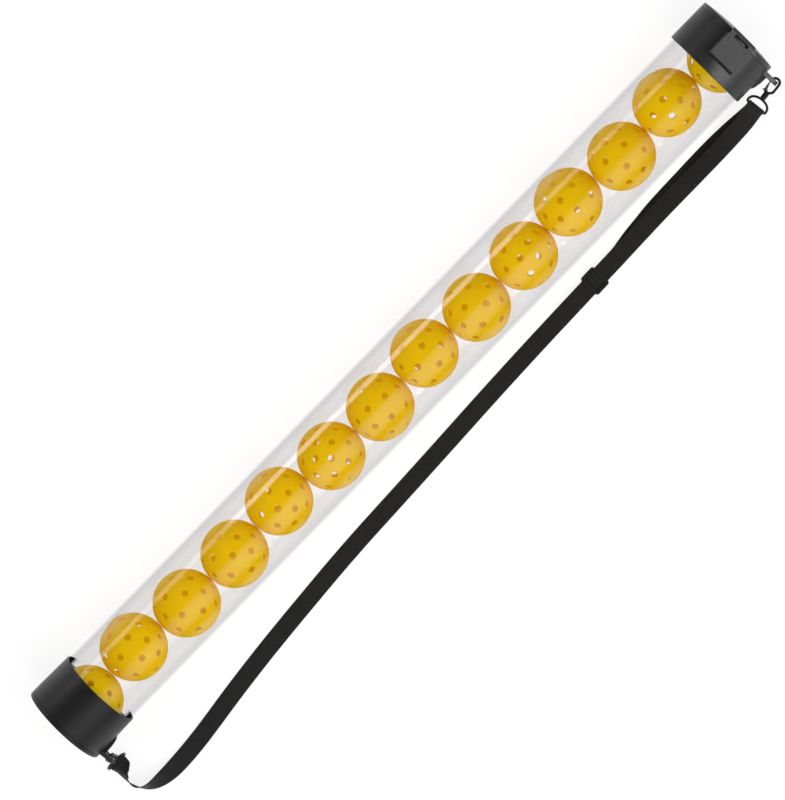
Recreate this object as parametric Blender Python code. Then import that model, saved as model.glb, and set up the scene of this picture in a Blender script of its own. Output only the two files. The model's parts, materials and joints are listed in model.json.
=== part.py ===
"""Clear pick-up tube with a column of perforated court balls and a shoulder strap.

Metres, +Z up. The tube lies on the floor (z = 0) along X: the pick-up end, with its ring of
flexible fingers, is at -X, and the flip lid that lets the balls out is at +X. The origin is on
the floor, in the middle of the flat under the lower collar. The strap lies along the -Y side.
"""

import math
import random

import bmesh
import bpy
from mathutils import Matrix, Vector

# Balls
BALL_DIAMETER = 0.0735
BALL_WALL = 0.002
BALL_COUNT = 14
BALL_HOLES = 22
BALL_HOLE_DIAMETER = 0.0086
BALL_HOLE_SIDES = 5
BALL_GAP = 0.0002
BALL_RECESS = 0.00752
# How far each ball of the squeezed column sits to the side, as a share of its free play
BALL_SIDE = (0.0, 0.67, -0.36, -0.34, 0.39, -0.43, -0.55, 0.3, -0.45, -0.12, 0.68, -0.19, 0.51, -0.61)

# Clear tube and the gap that pieces keep where they touch
TUBE_OUTER = 0.093
TUBE_WALL = 0.002
SEAT_GAP = 0.0003
SEGMENTS = 36

# Collars at both ends
COLLAR_WALL = 0.0027
COLLAR_END_WALL = 0.0014
LEDGE = 0.0033
EDGE = 0.0008
LOWER_LENGTH = 0.0572
LOWER_LEDGE_DEPTH = 0.016
UPPER_LENGTH = 0.0514
UPPER_LEDGE_DEPTH = 0.0123

# Front ring and finger ring of the pick-up end
FRONT_THICKNESS = 0.005
FRONT_FACE = 0.01
FRONT_LIP = 0.0017
SPIGOT_LENGTH = 0.006
SPIGOT_WALL = 0.0029
FINGERS = 30
FINGER_SHARE = 0.76
FINGER_ROOT_DEPTH = 0.0034
FINGER_TIP_DEPTH = 0.0274
FINGER_THICKNESS = 0.0016
FINGER_BASE_WALL = 0.0024

# Lid with its hinge
LID_SIDE = 0.0055
LID_RISE = 0.0035
LID_WALL = 0.0015
LID_SPIGOT_LENGTH = 0.003
LID_SPIGOT_WALL = 0.0018
HINGE_TURN = math.radians(8)
PIN_RADIUS = 0.0013
PIN_DEPTH = 0.0007
PIN_OUT = 0.0025
KNUCKLE_RADIUS = 0.0029
KNUCKLE_HALF = 0.0092
CHEEK_WIDTH = 0.0062
BOSS_LENGTH = 0.031
BOSS_HALF_ROOT = 0.0185
BOSS_HALF_TOP = 0.0165
BOSS_HEIGHT = 0.0053

# Strap ears on the collars
EAR_SET = 0.0068
EAR_THICKNESS = 0.005
EAR_REACH = 0.0085
EAR_END_RADIUS = 0.008
EAR_HOLE_RADIUS = 0.0045
EAR_NOTCH = 0.0022
EAR_ROOT_ANGLE = math.radians(17)
FIN_WIDTH = 0.009
FIN_RISE = 0.0037
FIN_LENGTH = 0.022

# Swivel hooks, in their own frame: u towards the tip, v towards the gate
WIRE_RADIUS = 0.0015
HOOK_HALF = 0.0047
HOOK_LENGTH = 0.0196
NOSE_END = 0.0082
BARREL_RADIUS = 0.0032
BARREL_LENGTH = 0.007
BARREL_WALL = 0.0013
POST_RADIUS = 0.0012
GATE_PIN_BACK = 0.0168
GATE_PIN_SIDE = 0.0036
GATE_PIN_RADIUS = 0.0007
GATE_THICKNESS = 0.0018
GATE_WIDTH = 0.0022
GATE_SLOT_DEPTH = 0.0025
GATE_HEEL = 0.0012
GATE_EYE = 0.0016
GATE_THUMB = 0.0032
SPRING_THICKNESS = 0.0004
FORK_WALL = 0.0009
POST_HEAD = 0.001
RING_RADIUS = 0.0014
RING_DEPTH = 0.0108
HOOK_YAW = math.radians(6)
HOOK_DROOP = math.radians(14)
NOSE_PLAY = 0.0008
LOWER_HOOK_HANG = (0.12, 0.27, 0.955)
HANG_PLAY = 0.0011
HANG_SHIFT = 0.0006

# Webbing strap and its slider
STRAP_WIDTH = 0.02
STRAP_THICKNESS = 0.0011
STRAP_GAP = 0.0003
STRAP_STEP = 0.022
LAP_LENGTH = 0.024
LEAVE_LENGTH = 0.007
MEET = 0.014
TURN_IN = 0.02
FIRST_TURN_IN = 0.008
WRAP_STEPS = 6
LOWER_LEAVE = (-0.15, -1, -0.02)
UPPER_LEAVE = (-0.8, -0.03, -0.6)
SLIDER_PLACE = (0.7295, -0.0744)
SLIDER_TURN = math.radians(1.4)
SLIDER_RUN = 0.042
SLIDER_LEVEL = 0.036
SLIDER_RAMP = 0.024
SLIDER_LENGTH = 0.0195
SLIDER_BAR = 0.0034
SLIDER_RAIL = 0.0025
SLIDER_TOP = 0.0014
SLIDER_CORE = 0.0007
SLIDER_SIDE_PLAY = 0.0004

# Sizes worked out from the ones above
BALL_R = BALL_DIAMETER / 2
TUBE_R = TUBE_OUTER / 2
SEAT_R = TUBE_R + SEAT_GAP
COLLAR_R = SEAT_R + COLLAR_WALL
BORE_R = SEAT_R - LEDGE
AXIS_HEIGHT = COLLAR_R * math.cos(math.pi / SEGMENTS)
BALL_PLAY = TUBE_R - TUBE_WALL - BALL_R - SEAT_GAP
WALL_MIDDLE = (SEAT_R + COLLAR_R) / 2
HOLE_R = COLLAR_R + EAR_REACH
PIN_R = COLLAR_R + PIN_OUT
RING_HALF = STRAP_WIDTH / 2 + SLIDER_SIDE_PLAY + RING_RADIUS
RING_APEX = -HOOK_LENGTH - BARREL_LENGTH - SEAT_GAP - RING_RADIUS
RING_BAR = RING_APEX - RING_DEPTH
LAYER = STRAP_THICKNESS + STRAP_GAP
STRAP_REST = STRAP_THICKNESS / 2 + STRAP_GAP
SLIDER_WRAP = SLIDER_CORE + STRAP_GAP + STRAP_THICKNESS / 2
RING_WRAP = RING_RADIUS + STRAP_GAP + STRAP_THICKNESS / 2
SLIDER_CORE_HEIGHT = STRAP_REST + SLIDER_WRAP
SLIDER_STRAP_HEIGHT = SLIDER_CORE_HEIGHT + SLIDER_WRAP + LAYER
SLIDER_BAR_HEIGHT = SLIDER_STRAP_HEIGHT + STRAP_THICKNESS / 2 + STRAP_GAP


def ball_centres():
    """Each ball's place along the tube from the pick-up rim, and to the side and up from the axis."""
    centres = [Vector((BALL_R + BALL_RECESS, 0, 0))]
    for share in BALL_SIDE[1:BALL_COUNT]:
        side = share * BALL_PLAY
        down = -math.sqrt(BALL_PLAY**2 - side**2)
        last = centres[-1]
        apart = BALL_DIAMETER + BALL_GAP
        along = math.sqrt(apart**2 - (side - last.y) ** 2 - (down - last.z) ** 2)
        centres.append(Vector((last.x + along, side, down)))
    return centres


COLUMN = ball_centres()
LENGTH = COLUMN[-1].x + BALL_R + SEAT_GAP + LID_WALL - LID_RISE
LOWER_RIM = -(FRONT_THICKNESS + SEAT_GAP + LOWER_LEDGE_DEPTH) / 2
UPPER_RIM = LOWER_RIM + LENGTH


def remove_everything():
    for thing in list(bpy.data.objects):
        bpy.data.objects.remove(thing, do_unlink=True)


def material(name, colour, roughness, metallic=0.0, alpha=1.0):
    made = bpy.data.materials.new(name)
    made.use_nodes = True
    shader = made.node_tree.nodes["Principled BSDF"]
    shader.inputs["Base Color"].default_value = (*colour, 1.0)
    shader.inputs["Roughness"].default_value = roughness
    shader.inputs["Metallic"].default_value = metallic
    shader.inputs["Alpha"].default_value = alpha
    return made


def make_materials():
    return {
        "clear": material("clear_plastic", (0.85, 0.87, 0.9), 0.05, alpha=0.3),
        "black": material("black_plastic", (0.02, 0.02, 0.022), 0.5),
        "rubber": material("finger_rubber", (0.05, 0.035, 0.02), 0.6),
        "yellow": material("ball_plastic", (0.83, 0.55, 0.01), 0.4),
        "metal": material("black_metal", (0.02, 0.02, 0.02), 0.35, metallic=0.8),
        "steel": material("bright_steel", (0.6, 0.6, 0.6), 0.25, metallic=1.0),
        "webbing": material("black_webbing", (0.015, 0.015, 0.016), 0.9),
    }


def add_piece(name, bm, look, parent=None):
    """Makes an object of the mesh, which then belongs to it, round faces shaded smooth."""
    bmesh.ops.recalc_face_normals(bm, faces=bm.faces)
    mesh = bpy.data.meshes.new(name)
    bm.to_mesh(mesh)
    bm.free()
    piece = bpy.data.objects.new(name, mesh)
    bpy.context.scene.collection.objects.link(piece)
    piece.parent = parent
    if look:
        mesh.materials.append(look)
        mesh.shade_smooth()
        mesh.set_sharp_from_angle(angle=math.radians(35))
    return piece


def add_empty(name, matrix, parent=None):
    empty = bpy.data.objects.new(name, None)
    empty.empty_display_size = 0.01
    bpy.context.scene.collection.objects.link(empty)
    empty.parent = parent
    empty.matrix_world = matrix
    return empty


def tool(name, bm, parent=None):
    """A solid that only shapes another one."""
    piece = add_piece(name, bm, None, parent)
    piece.hide_render = True
    piece.display_type = "WIRE"
    return piece


def combine(piece, other, operation):
    change = piece.modifiers.new(other.name, "BOOLEAN")
    change.solver = "EXACT"
    change.operation = operation
    change.object = other


def frame(origin, u, v):
    """The matrix of a right-handed frame at origin, with u along its X and v near its Y."""
    u = Vector(u).normalized()
    w = u.cross(Vector(v)).normalized()
    columns = Matrix((u, w.cross(u), w)).transposed()
    return Matrix.Translation(origin) @ columns.to_4x4()


def turned(profile, segments=SEGMENTS, closed=True):
    """Turns a profile of (place along X, radius) once round the X axis, a flat side down."""
    bm = bmesh.new()
    start = math.pi / segments
    verts = [bm.verts.new((x, r * math.cos(start), r * math.sin(start))) for x, r in profile]
    ends = verts[1:] + (verts[:1] if closed else [])
    edges = [bm.edges.new(pair) for pair in zip(verts, ends)]
    bmesh.ops.spin(
        bm, geom=verts + edges, cent=(0, 0, 0), axis=(1, 0, 0),
        angle=2 * math.pi, steps=segments, use_merge=True,
    )
    bmesh.ops.remove_doubles(bm, verts=bm.verts, dist=1e-6)
    return bm


def lofted(rings, closed=False):
    """Joins rings of equal point counts with faces, and caps the ends or closes the round."""
    bm = bmesh.new()
    loops = [[bm.verts.new(p) for p in ring] for ring in rings]
    following = loops[1:] + (loops[:1] if closed else [])
    for low, high in zip(loops, following):
        for k in range(len(low)):
            n = (k + 1) % len(low)
            bm.faces.new((low[k], low[n], high[n], high[k]))
    if not closed:
        bm.faces.new(list(reversed(loops[0])))
        bm.faces.new(loops[-1])
    return bm


def prism(outline, matrix, low, high):
    """Extrudes an outline of (a, b) from low to high along the third axis of the matrix."""
    return lofted([[matrix @ Vector((a, b, c)) for a, b in outline] for c in (low, high)])


def circle(radius, sides, a=0.0, b=0.0, start=0.0, turn=2 * math.pi):
    """Points round a circle, or along a part of it with both ends included."""
    whole = abs(turn - 2 * math.pi) < 1e-9
    steps = sides if whole else sides - 1
    angles = [start + turn * k / steps for k in range(sides)]
    return [(a + radius * math.cos(t), b + radius * math.sin(t)) for t in angles]


def wire(path, radius, sides, closed=False, up=Vector((0, 0, 1))):
    """A round wire along a flat path whose normal is up. The radius may be a list."""
    radii = radius if isinstance(radius, list) else [radius] * len(path)
    rings = []
    for k, place in enumerate(path):
        before = path[k - 1] if k or closed else place
        after = path[(k + 1) % len(path)] if k + 1 < len(path) or closed else place
        side = up.cross(after - before).normalized()
        rings.append([place + side * a + up * b for a, b in circle(radii[k], sides)])
    return lofted(rings, closed)


def smooth_route(points, step):
    """Points about a step apart on one smooth curve through the given ones."""
    padded = [2 * points[0] - points[1], *points, 2 * points[-1] - points[-2]]
    route = []
    for a, b, c, d in zip(padded, padded[1:], padded[2:], padded[3:]):
        pieces = max(1, round((c - b).to_3d().length / step))
        for k in range(pieces):
            t = k / pieces
            route.append(
                0.5 * (2 * b + (c - a) * t + (2 * a - 5 * b + 4 * c - d) * t**2
                       + (3 * b - a - 3 * c + d) * t**3)
            )
    return route + [points[-1].copy()]


def ribbon(samples):
    """Flat webbing through samples of (place, direction of its width)."""
    rings = []
    for k, (place, width) in enumerate(samples):
        before = samples[max(k - 1, 0)][0]
        after = samples[min(k + 1, len(samples) - 1)][0]
        along = (after - before).normalized()
        width = (width - along * width.dot(along)).normalized()
        face = along.cross(width)
        a, b = width * STRAP_WIDTH / 2, face * STRAP_THICKNESS / 2
        rings.append([place - a - b, place + a - b, place + a + b, place - a + b])
    return lofted(rings)


def make_tube(looks):
    low = LOWER_RIM + LOWER_LEDGE_DEPTH + LEDGE + SEAT_GAP
    high = UPPER_RIM - UPPER_LEDGE_DEPTH - SEAT_GAP
    inner = TUBE_R - TUBE_WALL
    place = add_empty("tube_axis", Matrix.Translation((0, 0, AXIS_HEIGHT)))
    profile = [(low, TUBE_R), (high, TUBE_R), (high, inner), (low, inner)]
    add_piece("tube", turned(profile), looks["clear"], place)
    return place


def hole_directions(count):
    """Directions spread evenly over a sphere along a spiral."""
    golden = math.pi * (3 - math.sqrt(5))
    for k in range(count):
        height = 1 - (2 * k + 1) / count
        around = math.sqrt(1 - height**2)
        yield Vector((around * math.cos(golden * k), around * math.sin(golden * k), height))


def perforated_ball():
    """A hollow ball: the hull of its hole rims, opened at the holes and given its wall."""
    bm = bmesh.new()
    tilt = math.asin(BALL_HOLE_DIAMETER / BALL_DIAMETER)
    hole_of = {}
    for number, direction in enumerate(hole_directions(BALL_HOLES)):
        side = direction.orthogonal().normalized()
        other = direction.cross(side)
        for a, b in circle(math.sin(tilt), BALL_HOLE_SIDES):
            place = direction * math.cos(tilt) + side * a + other * b
            hole_of[bm.verts.new(place * BALL_R)] = number
    bmesh.ops.convex_hull(bm, input=bm.verts[:])
    lids = [f for f in bm.faces if len({hole_of[v] for v in f.verts}) == 1]
    bmesh.ops.delete(bm, geom=lids, context="FACES")
    outer = bm.faces[:]
    inner = {v: bm.verts.new(v.co * (1 - BALL_WALL / BALL_R)) for v in list(bm.verts)}
    rims = [e for e in bm.edges if len(e.link_faces) == 1]
    for face in outer:
        bm.faces.new([inner[v] for v in reversed(face.verts)])
    for edge in rims:
        a, b = edge.verts
        bm.faces.new((a, b, inner[b], inner[a]))
    return bm


def make_balls(looks, axis):
    rng = random.Random(14)
    for number, centre in enumerate(COLUMN, 1):
        turn = Matrix.Rotation(rng.uniform(0, 2 * math.pi), 4, "X")
        tip = Matrix.Rotation(rng.uniform(0, 2 * math.pi), 4, "Z")
        ball = add_piece(f"ball_{number:02d}", perforated_ball(), looks["yellow"])
        place = Vector((LOWER_RIM, 0, AXIS_HEIGHT)) + centre
        ball.matrix_world = Matrix.Translation(place) @ turn @ tip


def root_arc(half_angle, count):
    """Points inside a collar's wall, across the place that a lug grows from."""
    angles = [half_angle * (1 - 2 * k / (count - 1)) for k in range(count)]
    return [(WALL_MIDDLE * math.cos(t), WALL_MIDDLE * math.sin(t)) for t in angles]


def add_ear(collar, name, axis, outer_face, inward):
    """A lug for a strap hook, square to the tube, with a keyhole and a fin behind it."""
    out = frame((0, 0, 0), (0, -1, 0), (0, 0, 1))
    end = circle(EAR_END_RADIUS, 9, HOLE_R, 0, math.radians(-100), math.radians(200))
    outline = root_arc(EAR_ROOT_ANGLE, 5) + end
    places = sorted((-outer_face, -(outer_face + inward * EAR_THICKNESS)))
    lug = tool(f"{name}_lug", prism(outline, out, *places), axis)
    combine(collar, lug, "UNION")
    back = outer_face + inward * EAR_THICKNESS
    inside = outer_face + inward * EAR_THICKNESS / 2
    low = COLLAR_R + FIN_RISE
    side = [
        (inside, WALL_MIDDLE), (inside, low), (back, low),
        (back + inward * FIN_LENGTH * 0.4, low - FIN_RISE * 0.12),
        (back + inward * FIN_LENGTH * 0.75, low - FIN_RISE * 0.5),
        (back + inward * FIN_LENGTH, WALL_MIDDLE),
    ]
    flat = frame((0, 0, 0), (1, 0, 0), (0, -1, 0))
    fin = tool(f"{name}_fin", prism(side, flat, -FIN_WIDTH / 2, FIN_WIDTH / 2), axis)
    combine(collar, fin, "UNION")
    gap = math.asin(EAR_NOTCH / 2 / EAR_HOLE_RADIUS)
    hole = circle(EAR_HOLE_RADIUS, 15, HOLE_R, 0, gap, 2 * math.pi - 2 * gap)
    reach = HOLE_R + EAR_HOLE_RADIUS + EAR_NOTCH / 2
    hole += [(reach, -EAR_NOTCH / 2), (reach, EAR_NOTCH / 2)]
    past = 2 * EAR_THICKNESS
    keyhole = tool(f"{name}_keyhole", prism(hole, out, places[0] - past, places[1] + past), axis)
    combine(collar, keyhole, "DIFFERENCE")


def make_lower_end(looks, axis):
    rim = LOWER_RIM
    spigot_end = FRONT_THICKNESS + SPIGOT_LENGTH
    socket_r = SEAT_R - EDGE
    spigot_r = socket_r - SEAT_GAP
    ledge_end = LOWER_LEDGE_DEPTH + LEDGE
    profile = [
        (FRONT_THICKNESS + SEAT_GAP, COLLAR_R),
        (LOWER_LEDGE_DEPTH, COLLAR_R),
        (LOWER_LENGTH - EDGE, SEAT_R + COLLAR_END_WALL + EDGE / 2),
        (LOWER_LENGTH, SEAT_R + COLLAR_END_WALL),
        (LOWER_LENGTH, SEAT_R),
        (ledge_end, SEAT_R),
        (ledge_end, SEAT_R - LEDGE - 2 * EDGE),
        (LOWER_LEDGE_DEPTH, SEAT_R - LEDGE - 2 * EDGE),
        (LOWER_LEDGE_DEPTH, socket_r),
        (FRONT_THICKNESS + SEAT_GAP, socket_r),
    ]
    collar = add_piece("lower_collar", turned([(rim + x, r) for x, r in profile]), looks["black"], axis)
    add_ear(collar, "lower_ear", axis, rim + EAR_SET, 1)
    bore = COLLAR_R - FRONT_FACE
    sleeve = spigot_r - SPIGOT_WALL
    profile = [
        (0, bore + EDGE / 2), (0, COLLAR_R - EDGE), (EDGE, COLLAR_R),
        (FRONT_THICKNESS, COLLAR_R), (FRONT_THICKNESS, spigot_r),
        (spigot_end, spigot_r), (spigot_end, sleeve), (FRONT_LIP, sleeve), (FRONT_LIP, bore),
        (EDGE / 2, bore),
    ]
    add_piece("front_ring", turned([(rim + x, r) for x, r in profile]), looks["black"], axis)
    make_finger_ring(looks, axis, sleeve - SEAT_GAP, spigot_end, spigot_r)


def make_finger_ring(looks, axis, outer, clamp, flange):
    """A rubber ring clamped behind the front ring, its fingers sloping in to the first ball."""
    inner = outer - FINGER_BASE_WALL
    start = FRONT_LIP + SEAT_GAP
    end = LOWER_LEDGE_DEPTH - SEAT_GAP
    root = FINGER_ROOT_DEPTH, FINGER_ROOT_DEPTH + FINGER_THICKNESS * 1.1
    profile = [
        (start, inner), (start, outer), (clamp + SEAT_GAP, outer),
        (clamp + SEAT_GAP, flange), (end, flange), (end, inner), (root[1], inner), (root[0], inner),
    ]
    bm = bmesh.new()
    pitch = 2 * math.pi / FINGERS
    loops = []
    for number in range(FINGERS):
        for share in (-FINGER_SHARE / 2, FINGER_SHARE / 2):
            turn = pitch * (number + share)
            loops.append([
                bm.verts.new((LOWER_RIM + x, r * math.cos(turn), r * math.sin(turn)))
                for x, r in profile
            ])
    roots = []
    count = len(profile)
    for number, low in enumerate(loops):
        high = loops[(number + 1) % len(loops)]
        for k in range(count):
            n = (k + 1) % count
            face = bm.faces.new((low[k], low[n], high[n], high[k]))
            if k == count - 2 and number % 2 == 0:
                roots.append(face)
    tip_r = math.sqrt((BALL_R + SEAT_GAP) ** 2 - (COLUMN[0].x - FINGER_TIP_DEPTH) ** 2)
    made = bmesh.ops.extrude_discrete_faces(bm, faces=roots)["faces"]
    back_x = LOWER_RIM + root[1]
    for face in made:
        for vert in face.verts:
            back = abs(vert.co.x - back_x) < 1e-6
            turn = math.atan2(vert.co.z, vert.co.y)
            depth = FINGER_TIP_DEPTH - (0 if back else FINGER_THICKNESS)
            radius = tip_r + FINGER_THICKNESS * (0.2 if back else 0.4)
            vert.co = (LOWER_RIM + depth, radius * math.cos(turn), radius * math.sin(turn))
    add_piece("finger_ring", bm, looks["rubber"], axis)


def hinge_frame():
    """Along the tube, then outwards at the hinge, with the pin along the third axis."""
    out = Vector((0, -math.sin(HINGE_TURN), math.cos(HINGE_TURN)))
    return frame((UPPER_RIM, 0, 0), (-1, 0, 0), out)


def make_upper_end(looks, axis):
    top = LID_SIDE + SEAT_GAP
    profile = [
        (top, COLLAR_R), (UPPER_LENGTH - EDGE, COLLAR_R), (UPPER_LENGTH, COLLAR_R - EDGE),
        (UPPER_LENGTH, SEAT_R), (UPPER_LEDGE_DEPTH, SEAT_R), (UPPER_LEDGE_DEPTH, BORE_R),
        (top, BORE_R),
    ]
    body = turned([(UPPER_RIM - x, r) for x, r in profile])
    collar = add_piece("upper_collar", body, looks["black"], axis)
    add_ear(collar, "upper_ear", axis, UPPER_RIM - EAR_SET, -1)
    hinge = hinge_frame()
    add_boss(collar, axis, hinge, top)
    lid = make_lid(looks, axis, hinge)
    hole = circle(PIN_RADIUS + 1.2 * SEAT_GAP, 12, PIN_DEPTH, PIN_R)
    bore = tool("hinge_bore", prism(hole, hinge, -BOSS_HALF_ROOT, BOSS_HALF_ROOT), axis)
    combine(collar, bore, "DIFFERENCE")
    combine(lid, bore, "DIFFERENCE")
    half = KNUCKLE_HALF + 2 * SEAT_GAP + CHEEK_WIDTH
    pin = prism(circle(PIN_RADIUS, 12, PIN_DEPTH, PIN_R), hinge, -half, half)
    add_piece("hinge_pin", pin, looks["steel"], axis)


def add_boss(collar, axis, hinge, top):
    """A raised block on the collar that ends in two cheeks beside the lid's knuckle."""
    half_angle = math.asin(BOSS_HALF_ROOT / WALL_MIDDLE)
    arc = [(b, a) for a, b in root_arc(half_angle, 7)]
    crest = COLLAR_R + BOSS_HEIGHT
    rings = []
    for depth, height in ((top, crest), (top + BOSS_LENGTH * 0.9, crest), (top + BOSS_LENGTH, COLLAR_R)):
        section = [(-BOSS_HALF_TOP, height), (BOSS_HALF_TOP, height)] + arc
        rings.append([hinge @ Vector((depth, r, t)) for t, r in section])
    combine(collar, tool("hinge_boss", lofted(rings), axis), "UNION")
    clear = COLLAR_R + SEAT_GAP
    cheek = [(top + EDGE, clear), (top + EDGE, crest)]
    cheek += circle(KNUCKLE_RADIUS, 7, PIN_DEPTH, PIN_R, math.radians(90), math.radians(180))
    cheek[-1] = (PIN_DEPTH, clear)
    inner = KNUCKLE_HALF + SEAT_GAP
    for side in (-1, 1):
        span = sorted((side * inner, side * (inner + CHEEK_WIDTH)))
        block = tool(f"hinge_cheek_{'left' if side < 0 else 'right'}", prism(cheek, hinge, *span), axis)
        combine(collar, block, "UNION")


def make_lid(looks, axis, hinge):
    """A shallow dome with a spigot that plugs the collar, and a knuckle on the hinge pin."""
    pin = add_empty("lid_hinge", axis.matrix_world @ hinge @ Matrix.Translation((PIN_DEPTH, PIN_R, 0)), axis)
    spigot = BORE_R - SEAT_GAP
    bore = spigot - LID_SPIGOT_WALL
    dome = (COLLAR_R**2 + LID_RISE**2) / (2 * LID_RISE)

    def height(r):
        return math.sqrt(dome**2 - r**2) - dome + LID_RISE

    outside = [(height(r), r) for r in (0, COLLAR_R * 0.35, COLLAR_R * 0.7, COLLAR_R - EDGE)]
    inside = [(height(r) - LID_WALL, r) for r in (bore, COLLAR_R * 0.6, COLLAR_R * 0.3, 0)]
    profile = outside + [
        (-EDGE, COLLAR_R), (-LID_SIDE, COLLAR_R), (-LID_SIDE, spigot),
        (-LID_SIDE - LID_SPIGOT_LENGTH, spigot), (-LID_SIDE - LID_SPIGOT_LENGTH, bore),
    ] + inside
    body = turned([(UPPER_RIM + x, r) for x, r in profile], closed=False)
    lid = add_piece("lid", body, looks["black"], axis)
    arm_low = PIN_DEPTH + KNUCKLE_RADIUS
    root_r = COLLAR_R - LID_SIDE / 2
    arm = [(arm_low, root_r), (arm_low, PIN_R)]
    arm += circle(KNUCKLE_RADIUS, 7, PIN_DEPTH, PIN_R, 0, math.pi)[1:]
    arm += [(EDGE, root_r)]
    knuckle = tool("lid_knuckle", prism(arm, hinge, -KNUCKLE_HALF, KNUCKLE_HALF), axis)
    combine(lid, knuckle, "UNION")
    lid.parent = pin
    lid.matrix_parent_inverse = pin.matrix_world.inverted() @ axis.matrix_world
    return lid


def upper_hook_frame():
    u = Vector((
        math.cos(HOOK_YAW) * math.cos(HOOK_DROOP),
        math.sin(HOOK_YAW) * math.cos(HOOK_DROOP),
        math.sin(HOOK_DROOP),
    ))
    v = Vector((-math.sin(HOOK_YAW), math.cos(HOOK_YAW), 0))
    hole = Vector((UPPER_RIM - EAR_SET - EAR_THICKNESS / 2, -HOLE_R, AXIS_HEIGHT))
    return frame(hole + u * HOOK_HALF - v * (HOOK_HALF + NOSE_PLAY), u, v)


def lower_hook_frame():
    u = Vector(LOWER_HOOK_HANG).normalized()
    hole = Vector((LOWER_RIM + EAR_SET + EAR_THICKNESS / 2, -HOLE_R, AXIS_HEIGHT))
    down = -Vector((0, u.y, u.z)).normalized()
    return frame(hole + down * HANG_PLAY + Vector((HANG_SHIFT, 0, 0)), u, (1, 0, 0))


def hook_path():
    """The wire's middle line from the barrel up the spine, over the tip and down the nose."""
    bend = HOOK_LENGTH - HOOK_HALF * 0.9
    path = [(-HOOK_LENGTH - BARREL_WALL, 0), (-HOOK_LENGTH + WIRE_RADIUS * 0.6, -HOOK_HALF * 0.22)]
    path += [(-bend - HOOK_HALF * 0.35, -HOOK_HALF * 0.66), (-bend, -HOOK_HALF * 0.93)]
    path += [(-bend + HOOK_HALF * 0.43, -HOOK_HALF)]
    arc = circle(HOOK_HALF, 7, -HOOK_HALF, 0, math.radians(-90), math.pi)
    path += arc + [(-NOSE_END, HOOK_HALF)]
    return [Vector((u, v, 0)) for u, v in path]


def make_hook(name, matrix, looks):
    """A swivel hook with its barrel, sprung gate and webbing ring."""
    swivel = add_empty(f"{name}_swivel", matrix)
    path = hook_path()
    radii = [WIRE_RADIUS] * (len(path) - 1) + [WIRE_RADIUS * 0.85]
    body = add_piece(f"{name}_hook", wire(path, radii, 8), looks["metal"], swivel)
    back = -HOOK_LENGTH - BARREL_LENGTH
    chamber = POST_RADIUS + POST_HEAD
    profile = [
        (-HOOK_LENGTH, 0), (-HOOK_LENGTH, BARREL_RADIUS * 0.75), (-HOOK_LENGTH - EDGE, BARREL_RADIUS),
        (back, BARREL_RADIUS), (back, POST_RADIUS + SEAT_GAP), (back + BARREL_WALL, POST_RADIUS + SEAT_GAP),
        (back + BARREL_WALL, chamber), (-HOOK_LENGTH - 2 * BARREL_WALL, chamber),
        (-HOOK_LENGTH - 2 * BARREL_WALL, 0),
    ]
    combine(body, tool(f"{name}_barrel", turned(profile, 12, closed=False), swivel), "UNION")
    add_gate(name, body, swivel, matrix, looks)
    add_gate_spring(name, swivel, looks)
    add_ring(name, matrix, looks, back, chamber)
    return swivel


def add_gate(name, body, swivel, matrix, looks):
    """A fork on the hook's shoulder holds the gate's pin, and the gate closes on the nose."""
    pin_u, pin_v = -GATE_PIN_BACK, GATE_PIN_SIDE
    gap = GATE_WIDTH / 2 + SEAT_GAP
    reach = gap + FORK_WALL
    fork = [(-HOOK_LENGTH - 2 * EDGE, -BARREL_RADIUS * 0.3), (-HOOK_LENGTH - 2 * EDGE, BARREL_RADIUS * 0.8)]
    fork += circle(GATE_EYE, 4, pin_u, pin_v, math.radians(100), -math.radians(150))
    fork += [(pin_u, pin_v - 1.5 * GATE_EYE), (-HOOK_LENGTH + EDGE, -BARREL_RADIUS * 0.3)]
    combine(body, tool(f"{name}_fork", prism(fork, Matrix(), -reach, reach), swivel), "UNION")
    low, high = pin_v - GATE_SLOT_DEPTH, pin_v * 2
    start, end = -HOOK_LENGTH + SEAT_GAP, pin_u + GATE_SLOT_DEPTH
    slot = [(start, low), (end, low), (end, high), (start, high)]
    combine(body, tool(f"{name}_gate_slot", prism(slot, Matrix(), -gap, gap), swivel), "DIFFERENCE")
    bore = prism(circle(GATE_PIN_RADIUS + 0.8 * SEAT_GAP, 10, pin_u, pin_v), Matrix(), -2 * reach, 2 * reach)
    bore = tool(f"{name}_gate_bore", bore, swivel)
    combine(body, bore, "DIFFERENCE")
    pin = prism(circle(GATE_PIN_RADIUS, 10, pin_u, pin_v), Matrix(), -reach, reach)
    add_piece(f"{name}_gate_pin", pin, looks["steel"], swivel)
    hinge = add_empty(f"{name}_gate_hinge", matrix @ Matrix.Translation((pin_u, pin_v, 0)), swivel)
    end = -NOSE_END - 2 * SEAT_GAP
    half = GATE_THICKNESS / 2
    outline = [(end, HOOK_HALF - half), (end - half / 2, HOOK_HALF + half)]
    outline += [(pin_u + 2 * GATE_EYE, HOOK_HALF + half), (pin_u, pin_v + GATE_EYE)]
    outline += [(pin_u - GATE_EYE * 0.7, pin_v + GATE_THUMB)]
    outline += [(pin_u - GATE_EYE * 1.4, pin_v + GATE_THUMB * 0.9), (pin_u - GATE_EYE, pin_v + GATE_EYE / 4)]
    outline += [(pin_u - GATE_EYE / 2, pin_v - GATE_HEEL), (pin_u + GATE_EYE * 0.7, pin_v - GATE_HEEL)]
    blade = prism(outline, Matrix(), -GATE_WIDTH / 2, GATE_WIDTH / 2)
    gate = add_piece(f"{name}_gate", blade, looks["steel"], swivel)
    combine(gate, bore, "DIFFERENCE")
    gate.parent = hinge
    gate.matrix_parent_inverse = hinge.matrix_world.inverted() @ matrix


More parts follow.
